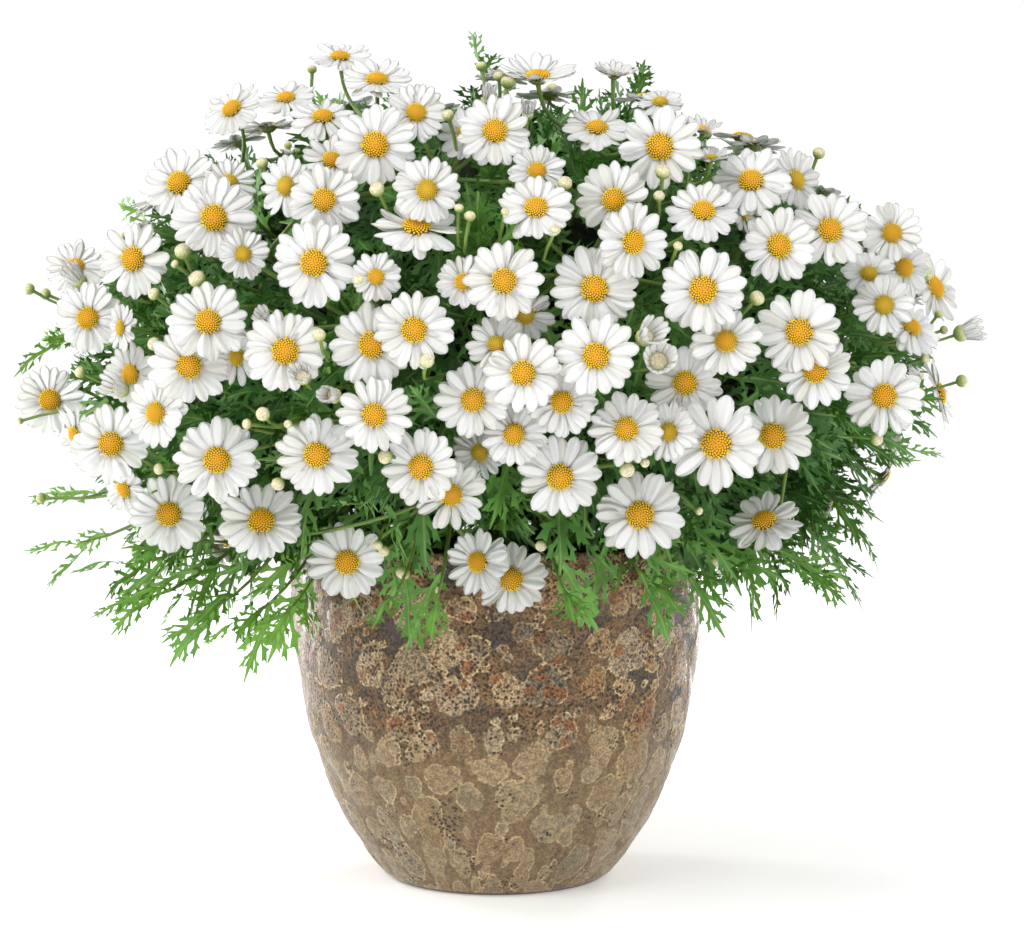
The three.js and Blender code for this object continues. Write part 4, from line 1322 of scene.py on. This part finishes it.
potShape = {
    "height": 0.214,
    "footFlat": 0.067,
    "footEdge": (0.0705, 0.0005),
    "footRadius": 0.0724,
    "footCorner": 0.002,
    "bellySwell": 0.0536,
    "bellyPower": 3.1,
    "rimFlare": 0.010,
    "wall": 0.009,
    "floor": 0.014,
    "rimRound": 0.003,
    "outerRows": 96,
    "innerRows": 10,
    "steps": 400,
    "hammerDepth": 0.0009,
    "patchRise": 0.0006,
    "plainFoot": (0.004, 0.01),  # where the relief starts and over how much height it grows
}
patchLayout = {  # in millimetres
    "tries": 2600,
    "radii": (2.4, 13.5),
    "spacing": 0.96,
    "girthAt": 0.12,  # metres up the pot
    "heights": (-4, 222),
    "tall": (0.85, 1.3),
    "waves": ((2, 0.14), (3, 0.1), (6, 0.05)),  # how often round a patch and how deep
    "slope": 2.5,
}


def potOuter(z):
    share = min(max(z / potShape["height"], 0), 1)
    swell = potShape["bellySwell"] * (1 - (1 - share) ** potShape["bellyPower"])
    return potShape["footRadius"] + swell + potShape["rimFlare"] * share


def potSection():
    p = potShape
    top, rim, bend = p["height"], potOuter(p["height"]), p["rimRound"]
    flat, corner = p["footFlat"], (p["footRadius"], p["footCorner"])
    points = [(0, 0), (flat / 2, 0), (flat, 0), p["footEdge"], corner]
    for i in range(1, p["outerRows"] + 1):
        z = p["footCorner"] + (top - bend - p["footCorner"]) * i / p["outerRows"]
        points.append((potOuter(z), z))
    for middle, angles in ((rim - bend, (30, 60, 90)), (rim - p["wall"] + bend, (90, 120, 150, 180))):
        for angle in map(math.radians, angles):
            points.append((middle + bend * math.cos(angle), top - bend + bend * math.sin(angle)))
    for i in range(1, p["innerRows"] + 1):
        z = top - bend + (p["floor"] - top + bend) * i / p["innerRows"]
        points.append((potOuter(z) - p["wall"], z))
    return points + [(0, p["floor"])]


def layPatches():  # centres round the pot and up it, radii and shapes of the glaze's patches
    girth = fullTurn * potOuter(patchLayout["girthAt"]) * 1000
    laid = np.zeros((0, 3))
    patches = []
    for i in range(patchLayout["tries"]):
        size = (1 - i / patchLayout["tries"]) ** 1.5  # big patches find room first
        radius = between(patchLayout["radii"], size) * draw(0.8, 1.1)
        x, z = draw(0, girth), draw(*patchLayout["heights"])
        gaps = np.abs(laid[:, 0] - x)
        distances = np.hypot(np.minimum(gaps, girth - gaps), laid[:, 1] - z)
        if np.all(distances > patchLayout["spacing"] * (radius + laid[:, 2])):
            laid = np.vstack([laid, (x, z, radius)])
            phases = [draw(0, fullTurn) for wave in patchLayout["waves"]]
            patches.append((x, z, radius, draw(*patchLayout["tall"]), draw(), phases))
    return patches, girth


def patchField(angles, heights):  # how far each point is inside the nearest patch, in mm, and that patch's tone
    patches, girth = layPatches()
    around, above = (angles / fullTurn % 1) * girth, heights * 1000
    edge, tone = np.full(len(angles), -9.0), np.zeros(len(angles))
    for x, z, radius, tall, patchTone, phases in patches:
        dx = (around - x + girth / 2) % girth - girth / 2
        dz = (above - z) / tall
        near = (np.abs(dx) < 2.2 * radius) & (np.abs(dz) < 2.2 * radius)
        distance, turn = np.hypot(dx[near], dz[near]), np.arctan2(dz[near], dx[near])
        outline = 1 + sum(depth * np.sin(count * turn + phase)
                          for (count, depth), phase in zip(patchLayout["waves"], phases))
        inside = radius * outline - distance
        closer = inside > edge[near]
        index = np.flatnonzero(near)[closer]
        edge[index] = inside[closer]
        tone[index] = patchTone
    return edge, tone


glazeNoises = {  # scale and detail
    "wander": (60, 2), "ragged": (420, 3), "rimPlace": (45, 2), "poolPlace": (32, 3), "spotEdge": (300, 2),
    "rustPlace": (38, 1), "fine": (700, 4), "coarse": (230, 3), "pitPlace": (48, 2), "dents": (500, 3), "shine": (120, 2),
}
glazeSteps = [  # name, kind of step and its values, each a number, a colour or the name of an earlier step
    ("lift", "MULTIPLY", "wander", 0.05), ("level", "ADD", "z", "lift"), ("upper", "soft", "level", 0.095, 0.155, 0, 1),
    ("apart", "SUBTRACT", "ragged", 0.5), ("frayed", "MULTIPLY", "apart", 3), ("edge", "ADD", "patchEdge", "frayed"),
    ("inside", "soft", "edge", -0.3, 0.3, 0, 1),
    ("beside", "ABSOLUTE", "edge"), ("rimBand", "soft", "beside", 0.2, 1.0, 1, 0),
    ("rimShare", "soft", "rimPlace", 0.35, 0.6, 0.2, 0.9), ("rim", "MULTIPLY", "rimBand", "rimShare"),
    ("poolSpots", "soft", "poolPlace", 0.5, 0.62, 0, 1), ("poolHeight", "soft", "z", 0.08, 0.14, 0, 0.85),
    ("pools", "MULTIPLY", "poolSpots", "poolHeight"),  # dark, between the patches
    ("plain", "mix", "upper", "#80694a", "#775a36"), ("ground", "mix", "pools", "plain", "#453c31"),
    ("lowerTan", "mix", 0.65, "tan", "#8f8062"), ("patch", "mix", "upper", "lowerTan", "tan"),
    ("spotApart", "SUBTRACT", "spotEdge", 0.5), ("spotFray", "MULTIPLY", "spotApart", 0.35),
    ("spotAt", "ADD", "spots", "spotFray"), ("spotSize", "soft", "spotAt", 0.38, 0.48, 1, 0),
    ("rustSpots", "soft", "rustPlace", 0.4, 0.52, 0, 1), ("rustAll", "MULTIPLY", "spotSize", "rustSpots"),
    ("rustHeight", "soft", "upper", 0.1, 0.9, 0.1, 0.9), ("rust", "MULTIPLY", "rustAll", "rustHeight"),
    ("both", "mix", "inside", "ground", "patch"), ("rustOn", "soft", "inside", 0, 1, 0.25, 1),
    ("rustShare", "MULTIPLY", "rust", "rustOn"), ("rusty", "mix", "rustShare", "both", "#8f5829"),
    ("rimHeight", "soft", "upper", 0, 1, 0.6, 0.8), ("rimLight", "MULTIPLY", "rim", "rimHeight"),
    ("rimmed", "mix", "rimLight", "rusty", "#d8bd8c"),
    ("footWander", "MULTIPLY", "wander", 0.003), ("footLine", "ADD", "z", "footWander"),
    ("foot", "soft", "footLine", 0.0025, 0.004, 0.85, 0), ("footed", "mix", "foot", "rimmed", "#5d2f1c"),  # bare clay
    ("dark", "soft", "upper", 0, 1, 0.62, 0.36), ("light", "soft", "upper", 0, 1, 1.12, 1.3),
    ("fineSpeckle", "soft", "fine", 0.36, 0.64, "dark", "light"),
    ("bigSpeckle", "soft", "coarse", 0.35, 0.65, 0.8, 1.18), ("speckle", "MULTIPLY", "fineSpeckle", "bigSpeckle"),
    ("speckled", "scale", "footed", "speckle"),
    ("pitUpper", "soft", "upper", 0, 1, -0.05, 0.1), ("pitSpread", "ADD", "pitPlace", "pitUpper"),
    ("pitTop", "soft", "z", 0.165, 0.21, 0, 0.08), ("gate", "ADD", "pitSpread", "pitTop"),
    ("pitHole", "soft", "pits", 0.3, 0.4, 1, 0), ("pitShare", "soft", "gate", 0.47, 0.6, 0.05, 1),
    ("pit", "MULTIPLY", "pitHole", "pitShare"), ("pitDark", "MULTIPLY", "pit", 0.9),
    ("finished", "mix", "pitDark", "speckled", "#2a1c10"),
    ("rimRise", "MULTIPLY", "rim", 0.5), ("pitFall", "MULTIPLY", "pit", -1.2), ("relief", "ADD", "rimRise", "pitFall"),
    ("dentRise", "MULTIPLY", "dents", 0.7), ("height", "ADD", "relief", "dentRise"),
    ("roughness", "soft", "shine", 0.3, 0.7, 0.26, 0.5),
]
stepKinds = {
    "soft": ("MapRange", {"interpolation_type": "SMOOTHSTEP"}),
    "mix": ("Mix", {"data_type": "RGBA"}),
    "scale": ("VectorMath", {"operation": "SCALE"}),
}


def glazeNodes(tree):  # stoneware under a glossy lava glaze: pitted tan patches with rust spots on brown
    at = addNode(tree, "TexCoord", out="Object")
    made = {name: addNode(tree, "TexNoise", {"Vector": at, "Scale": scale, "Detail": detail})
            for name, (scale, detail) in glazeNoises.items()}
    made["z"] = addNode(tree, "SeparateXYZ", [at], out="Z")
    made["patchEdge"] = addNode(tree, "Attribute", attribute_name="patchEdge", out="Fac")
    tone = addNode(tree, "Attribute", attribute_name="patchTone", out="Fac")
    made["tan"] = addNode(tree, "ValToRGB", [tone], [(0, "#9a7243"), (1, "#6b5f4c"), (0.35, "#b0926a"),
                                                     (0.7, "#a18d73"), (0.85, "#937b57")])
    made["spots"] = addNode(tree, "TexVoronoi", {"Vector": at, "Scale": 88})  # rust spots 4 to 8 mm across
    made["pits"] = addNode(tree, "TexVoronoi", {"Vector": at, "Scale": 360})  # pits about 1 mm across
    for name, step, *values in glazeSteps:
        kind, settings = stepKinds.get(step, ("Math", {"operation": step}))
        made[name] = addNode(tree, kind, [made.get(value, value) for value in values], **settings)
    return {
        "Base Color": made["finished"], "Roughness": made["roughness"], "Specular IOR Level": 0.36,
        "Coat Weight": 0.1, "Coat Roughness": 0.12,
        "Normal": addNode(tree, "Bump", {"Strength": 0.7, "Distance": 0.0006, "Height": made["height"]}),
    }


def spinPot():
    deselectAll()
    section = potSection()
    bpy.ops.mesh.primitive_circle_add(vertices=len(section), radius=0.1, fill_type="NOTHING")
    pot = bpy.context.object
    for corner, (reach, z) in zip(pot.data.vertices, section):
        corner.co = (reach, 0, z)
    last = len(section) - 1
    bpy.ops.object.mode_set(mode="EDIT")
    bpy.ops.mesh.select_mode(type="EDGE")
    bpy.ops.object.mode_set(mode="OBJECT")
    for rung in pot.data.edges:  # the circle is opened between its ends
        rung.select = set(rung.vertices) == {0, last}
    bpy.ops.object.mode_set(mode="EDIT")
    bpy.ops.mesh.delete(type="EDGE")
    bpy.ops.mesh.select_mode(type="VERT")
    bpy.ops.mesh.select_all(action="SELECT")
    bpy.ops.mesh.spin(steps=potShape["steps"], angle=fullTurn, center=(0, 0, 0), axis=(0, 0, 1))
    bpy.ops.mesh.select_all(action="SELECT")
    bpy.ops.mesh.remove_doubles(threshold=1e-5)
    turnOutwards()
    return pot


def makePot():
    pot = spinPot()
    pot.name = "stoneware_pot"
    points = np.zeros(len(pot.data.vertices) * 3)
    pot.data.vertices.foreach_get("co", points)
    points = points.reshape(-1, 3)
    x, y, heights = points.T
    reach, angles = np.hypot(x, y), np.arctan2(y, x)
    edge, tone = patchField(angles, heights)
    mm = heights * 1000
    wave = np.sin(7 * angles + 0.05 * mm) * np.sin(0.07 * mm + 2 * np.sin(3 * angles))
    facets = np.sin(11 * angles + 0.11 * mm + 1) * np.sin(0.13 * mm - 4 * angles) * 0.4
    plateau = np.clip(edge / patchLayout["slope"], 0, 1)
    rise = potShape["hammerDepth"] * (wave + facets)
    rise += potShape["patchRise"] * plateau * plateau * (3 - 2 * plateau)
    outer = np.array([potOuter(z) for z in heights])
    start, growth = potShape["plainFoot"]
    fade = np.clip((heights - start) / growth, 0, 1) * (reach > outer - potShape["wall"] / 2)
    grown = 1 + np.where(reach > 0.01, rise * fade / np.maximum(reach, 0.01), 0)
    points[:, :2] *= grown[:, None]
    pot.data.vertices.foreach_set("co", points.ravel())
    for name, values in (("patchEdge", edge), ("patchTone", tone)):
        pot.data.attributes.new(name, "FLOAT", "POINT").data.foreach_set("value", values)
    pot.data.materials.append(makeMaterial("lavaGlaze", glazeNodes))
    bpy.ops.object.shade_smooth()
    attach(pot, "root")
    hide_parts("pot")
    print("pot made:", countTriangles(pot), "triangles")


makePot()


# Soil and woody stem, deep under the leaves

soilShape = {"size": 0.232, "rows": 44, "top": 0.197, "crown": 0.003, "clods": 0.0022, "thickness": 0.02}
stemShape = {
    "radius": 0.011,
    "foot": 0.14,
    "waist": 0.175,
    "fork": 0.206,
    "forkTop": 0.01,
    "limbs": 5,
    "limbShare": 0.5,
    "limbRoot": 0.006,
    "limbBend": 0.35,
    "reach": 0.095,
    "rise": 0.048,
}


def soilNodes(tree):  # moist potting mix: dark brown crumbs with paler fibres
    crumbs = addNode(tree, "TexNoise", {"Vector": addNode(tree, "TexCoord", out="Object"), "Scale": 380, "Detail": 6})
    brown = addNode(tree, "ValToRGB", [crumbs], [(0.3, "#150e08"), (0.72, "#5d4630"), (0.55, "#35261a")])
    bump = addNode(tree, "Bump", {"Strength": 1, "Distance": 0.002, "Height": crumbs})
    return {"Base Color": brown, "Roughness": 0.95, "Normal": bump}


def barkNodes(tree):  # thin grey-brown bark with fine cracks along the stem
    at = addNode(tree, "Mapping", {"Vector": addNode(tree, "TexCoord", out="Object"), "Scale": (1, 1, 0.2)})
    cracks = addNode(tree, "TexNoise", {"Vector": at, "Scale": 520, "Detail": 5})
    brown = addNode(tree, "ValToRGB", [cracks], [(0.35, "#3a2b1d"), (0.65, "#8a7458"), (0.5, "#66503a")])
    bump = addNode(tree, "Bump", {"Strength": 0.8, "Distance": 0.001, "Height": cracks})
    return {"Base Color": brown, "Roughness": 0.85, "Normal": bump}


def makeSoil():
    deselectAll()
    rows = soilShape["rows"]
    bpy.ops.mesh.primitive_grid_add(x_subdivisions=rows, y_subdivisions=rows, size=2)
    soil = bpy.context.object
    soil.name = "soil_surface"
    for corner in soil.data.vertices:
        x, y = corner.co.x, corner.co.y
        around = Vector((x * math.sqrt(1 - y * y / 2), y * math.sqrt(1 - x * x / 2), 0))
        height = soilShape["top"] + soilShape["crown"] * (1 - around.length_squared)
        corner.co = around * soilShape["size"] / 2 + up * (height - soilShape["clods"] * draw())
    editAll()
    bpy.ops.mesh.extrude_region_move(TRANSFORM_OT_translate={"value": (0, 0, -soilShape["thickness"])})
    turnOutwards()
    bpy.ops.object.shade_smooth()
    soil.data.materials.append(makeMaterial("pottingSoil", soilNodes))
    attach(soil, "root")
    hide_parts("soil")


def makeStem():
    foot, waist, fork, over = (up * stemShape[key] for key in ("foot", "waist", "fork", "forkTop"))
    share = stemShape["limbShare"]
    routes = [[(foot, 1.1), (waist, 0.95), (fork, 0.85), (fork + over, 0.7)]]
    for i in range(stemShape["limbs"]):
        outwards = flatAt(fullTurn * (i + 0.4 * chance(i, 31)) / stemShape["limbs"], stemShape["reach"])
        routes.append([
            (fork - up * stemShape["limbRoot"], share * 1.3),
            (outwards * stemShape["limbBend"] + fork + over, share * 1.1),
            (outwards + fork + up * stemShape["rise"], share),
        ])
    stem = drawStems(routes, stemShape["radius"], 4)
    stem.name = "bark_stem"
    stem.data.materials.append(makeMaterial("bark", barkNodes))
    bpy.ops.object.shade_smooth()
    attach(stem, "root")
    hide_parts("woody_stem")


makeSoil()
makeStem()
print("soil and stem made")


# Floor, lights and camera

studio = {
    "floorRadius": 6,
    "floorGlow": (0.34, 0.85),  # at the pot and far off
    "glowReach": (0.25, 1.3),
    "worldColour": "#f4f6f8",
    "worldStrength": 0.55,
    "backdropStrength": 1.05,
    "lights": (  # name, place, aim, width, height, watts
        ("key", (-1.2, -1.5, 2.1), (0, 0, 0.33), 1.3, 1.3, 44),
        ("fill", (1.8, -1.5, 0.8), (0, 0, 0.3), 1.6, 1.6, 9),
        ("stripLeft", (-1.15, 0.8, 0.3), (0, 0, 0.15), 0.14, 1.1, 13),
        ("stripRight", (0.75, 1.35, 0.3), (0, 0, 0.15), 0.14, 1.1, 13),
    ),
}


def floorNodes(tree):  # matt white paint, lit up a little so that it meets the white backdrop
    at = addNode(tree, "TexCoord", out="Object")
    grain = addNode(tree, "TexNoise", {"Vector": at, "Scale": 8, "Detail": 2})
    pale = addNode(tree, "ValToRGB", [grain], [(0.3, "#f1f1ef"), (0.7, "#f6f6f5")])
    distance = addNode(tree, "VectorMath", [at], operation="LENGTH", out="Value")
    glow = addNode(tree, "MapRange", (distance, *studio["glowReach"], *studio["floorGlow"]))
    white = colour("#ffffff")
    return {"Base Color": pale, "Roughness": 0.9, "Emission Color": white, "Emission Strength": glow}


def makeFloor():
    deselectAll()
    bpy.ops.mesh.primitive_circle_add(vertices=96, radius=studio["floorRadius"], fill_type="NGON")
    floor = bpy.context.object
    floor.name = "studio_floor"
    floor.data.materials.append(makeMaterial("floorPaint", floorNodes))


def makeWorld():
    world = bpy.data.worlds.new("studio")
    bpy.context.scene.world = world
    world.use_nodes = True
    tree = world.node_tree
    tree.nodes.clear()
    sky = addNode(tree, "Background", {"Color": studio["worldColour"], "Strength": studio["worldStrength"]})
    backdrop = addNode(tree, "Background", {"Color": "#ffffff", "Strength": studio["backdropStrength"]})
    seen = addNode(tree, "LightPath", out="Is Camera Ray")
    addNode(tree, "OutputWorld", {"Surface": addNode(tree, "MixShader", {0: seen, 1: sky, 2: backdrop})})


def placeInScene(name, data, place, turn):
    thing = bpy.data.objects.new(name, data)
    thing.location = place
    thing.rotation_euler = turn
    bpy.context.scene.collection.objects.link(thing)
    return thing


def makeLights():
    for name, place, aim, width, height, power in studio["lights"]:
        lamp = bpy.data.lights.new(name, "AREA")
        lamp.shape = "RECTANGLE"
        lamp.size, lamp.size_y, lamp.energy = width, height, power
        placeInScene(name, lamp, place, (Vector(aim) - Vector(place)).to_track_quat("-Z", "Y").to_euler())


def makeCamera():
    lens = bpy.data.cameras.new("camera")
    lens.sensor_width = 36
    lens.lens = photoView["focal"] / photoView["width"] * lens.sensor_width
    bpy.context.scene.camera = placeInScene("camera", lens, photoView["eye"], (math.pi / 2, 0, 0))


makeFloor()
makeWorld()
makeLights()
makeCamera()
bpy.context.scene.view_settings.view_transform = "Standard"
print("studio made")
